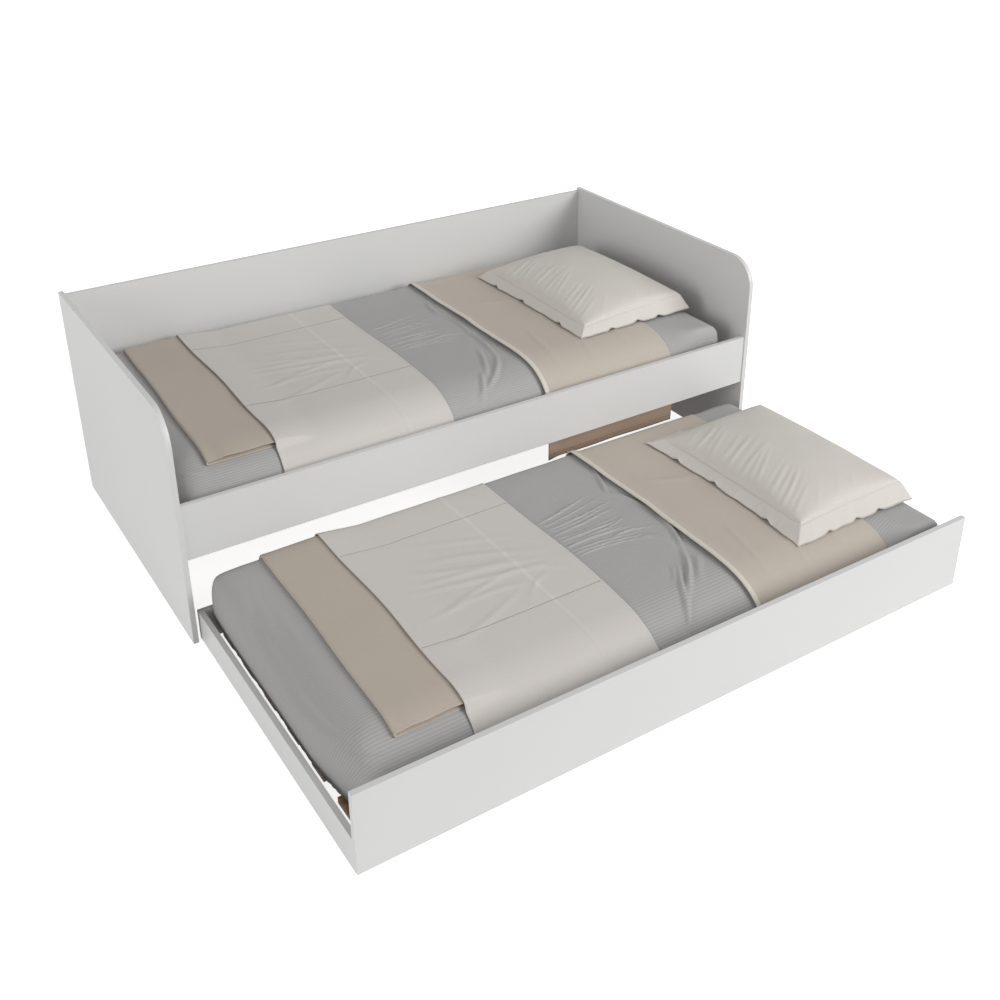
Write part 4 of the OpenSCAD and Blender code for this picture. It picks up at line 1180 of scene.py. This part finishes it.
def border_places(runs, phase):
    """runs: how far the border reaches at foot, head, front and back. Gives its tucks and shift inwards."""
    tucked, shift = np.zeros(p_along.shape), np.zeros(p_along.shape + (2,))
    for side, run in zip(inwards, runs):
        reach = np.maximum(past[side], 0) / flange
        place_along = p_across if inwards[side][0] else p_along
        tuck = sum(np.exp(-((place_along + phase - spot) / 13) ** 2) for spot in tucks[side]) * reach
        swing = np.sin((place_along + 3 * phase) / 31) + 0.6 * np.sin((place_along - phase) / 12.5)
        tucked += tuck
        inward = reach * (flange - run) + 5 * tuck + 1.5 * swing * reach
        shift += inward[..., None] * np.array(inwards[side])
    return tucked, shift


def finished_pillow(name, bed, body_corner, runs, seams, phase):
    """seams: the seam's height at the front foot, front head, back foot and back head corners."""
    tucked, shift = border_places(runs, phase)
    outside = np.clip((flange - from_edge) / flange, 0, 1)
    head = np.clip((p_along - flange) / body_long, 0, 1)
    back = np.clip((p_across - flange) / body_wide, 0, 1)
    seam_z = ((1 - head) * (1 - back) * seams[0] + head * (1 - back) * seams[1]
              + (1 - head) * back * seams[2] + head * back * seams[3])
    groove = 3.0 * np.exp(-((from_edge - flange) / 2.8) ** 2)
    full_body = smooth_step(from_edge, flange, flange + 16)
    rim = 0.8 * np.exp(-((from_edge - 3) / 2.5) ** 2)
    where = {}
    for side, plan in (("up", top_side), ("down", low_side)):
        bed_along = plan[..., 0] + shift[..., 0] - flange + body_corner[0]
        bed_across = plan[..., 1] + shift[..., 1] - flange + body_corner[1]
        ground = top_height(np.minimum(bed_along, length - 4), np.clip(bed_across, 4, width - 4), bed)
        ground = ground + resting_level
        if side == "up":
            hem_z = np.maximum(ground + 4.5 + 6 * tucked, seam_z - 0.94 * flange)
            border = seam_z + (hem_z - seam_z) * outside ** 1.15 + border_folds * outside + rim
            body = seam_z + plan[..., 2] + crown_folds * full_body
            height = upper = np.where(in_body, body, border) - groove
            least = ground + 3.4
        else:
            height = np.where(inside, seam_z + plan[..., 2], upper - 2.4 - 0.6 * rim)
            least = ground + 1.0
        # A rounded maximum: the cloth eases onto what it lies on
        resting = least + np.logaddexp(0, (height - least) / 1.5) * 1.5
        where[side] = np.stack([bed_along, bed_across, resting], -1)
    corners = np.concatenate([where["up"].reshape(-1, 3), where["down"].reshape(-1, 3)])
    ring = np.concatenate([top_index[:, 0], top_index[-1, 1:], top_index[-2::-1, -1], top_index[0, -2:0:-1]])
    after = np.roll(ring, -1)
    rim_faces = np.stack([ring, ring + p_along.size, after + p_along.size, after], -1)[:, ::-1]
    faces = np.concatenate([top_faces, top_faces[:, ::-1] + p_along.size, rim_faces]).tolist()
    obj = cloth(name, to_bed(corners, bed), faces, np.concatenate([pillow_chart.reshape(-1, 2)] * 2), linen)
    return applied(obj, "SUBSURF", levels=1, render_levels=1)


rests = {
    "upper": ((1424.0, 168.0), (30, 26, 28, 30), (194, 222, 200, 218), 0.0),
    "trundle": ((1430.0, 144.0), (40, 22, 38, 46), (210, 222, 206, 218), 11.0),
}
for bed, rest in rests.items():
    pillow = finished_pillow(bed + "_flanged_pillow", bed, *rest)
    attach(pillow, body_of_bed[bed])
    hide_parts(bed + "_pillow")
    print(pillow.name, len(pillow.data.polygons), "faces, top", round(float(points(pillow)[:, 2].max()), 3))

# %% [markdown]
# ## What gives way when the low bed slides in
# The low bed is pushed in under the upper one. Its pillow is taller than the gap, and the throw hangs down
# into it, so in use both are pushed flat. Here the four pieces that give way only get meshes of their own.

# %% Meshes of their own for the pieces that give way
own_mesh(bpy.data.objects["trundle_flanged_pillow"])
for piece in ("upper_cotton_throw", "upper_throw_binding", "upper_throw_hem_stitching"):
    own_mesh(bpy.data.objects[piece])

# %% [markdown]
# ## The studio
# The bed stands on a seamless white floor. The camera is above the foot end and looks along the bed, with
# its picture shifted a little, as a view camera does to keep the bed in the middle. A white floor that is
# only lit would be grey, so what the camera and reflections see of it is lifted to white with a little of
# its own light, and the shadows that the bed throws on it stay.

# %% Camera
def camera():
    data = bpy.data.cameras.new("camera")
    data.sensor_width = 36
    data.lens = 43.607
    data.shift_x = -0.0164
    data.shift_y = -0.130
    obj = bpy.data.objects.new("camera", data)
    bpy.context.scene.collection.objects.link(obj)
    obj.location = (-1.6829, -2.6895, 2.0948)
    obj.rotation_euler = [math.radians(a) for a in (64.15, 0, -33.07)]
    bpy.context.scene.camera = obj
    return obj


print("lens", round(camera().data.lens, 1), "mm")

# %% Floor and sky
def seen_only(tree):
    """1 for what the camera, glossy and transmitted rays see, 0 for light that falls on things."""
    rays = add(tree, "ShaderNodeLightPath").outputs
    first = maths(tree, "MAXIMUM", rays["Is Camera Ray"], rays["Is Glossy Ray"])
    return maths(tree, "MAXIMUM", first, rays["Is Transmission Ray"])


deselect()
bpy.ops.mesh.primitive_plane_add(size=30, location=(0, 0, -0.0005))
floor = named("floor")
bpy.ops.object.transform_apply(location=True)
floor_paint, tree, shader = new_material("white_studio_floor", "#d8d8d8", Roughness=0.9)
feed(tree, shader.inputs["Emission Color"], "#ffffff")
feed(tree, shader.inputs["Emission Strength"], maths(tree, "MULTIPLY", seen_only(tree), 0.85))
floor.data.materials.append(floor_paint)
floor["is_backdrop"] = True

sky = bpy.data.worlds.new("studio_sky")
bpy.context.scene.world = sky
sky.use_nodes = True
tree = sky.node_tree
light = tree.nodes["Background"]
feed(tree, light.inputs["Color"], "#ffffff")
feed(tree, light.inputs["Strength"], 0.39)
white = add(tree, "ShaderNodeBackground", Color="#ffffff", Strength=1.0)
which = add(tree, "ShaderNodeMixShader", Fac=seen_only(tree), _1=light.outputs["Background"],
            _2=white.outputs["Background"])
tree.links.new(which.outputs["Shader"], tree.nodes["World Output"].inputs["Surface"])
print("floor and sky are white")

# %% Lamps
def soft_box(name, size, watts, where, towards):
    data = bpy.data.lights.new(name, "AREA")
    data.shape = "SQUARE"
    data.size = size
    data.energy = watts
    obj = bpy.data.objects.new(name, data)
    bpy.context.scene.collection.objects.link(obj)
    obj.location = where
    obj.rotation_euler = (Vector(towards) - Vector(where)).to_track_quat("-Z", "Y").to_euler()
    return obj


soft_box("front_right", 6.0, 980, (6.4, -9.2, 5.7), (0.2, -0.6, 0.3))
soft_box("left", 6.0, 440, (-12.0, -2.6, 3.6), (0.0, -0.4, 0.4))
bpy.context.scene.view_settings.view_transform = "Standard"
print("two soft boxes")

# %% Sizes
low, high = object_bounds()
print("visual model", [round(v, 3) for v in high - low])
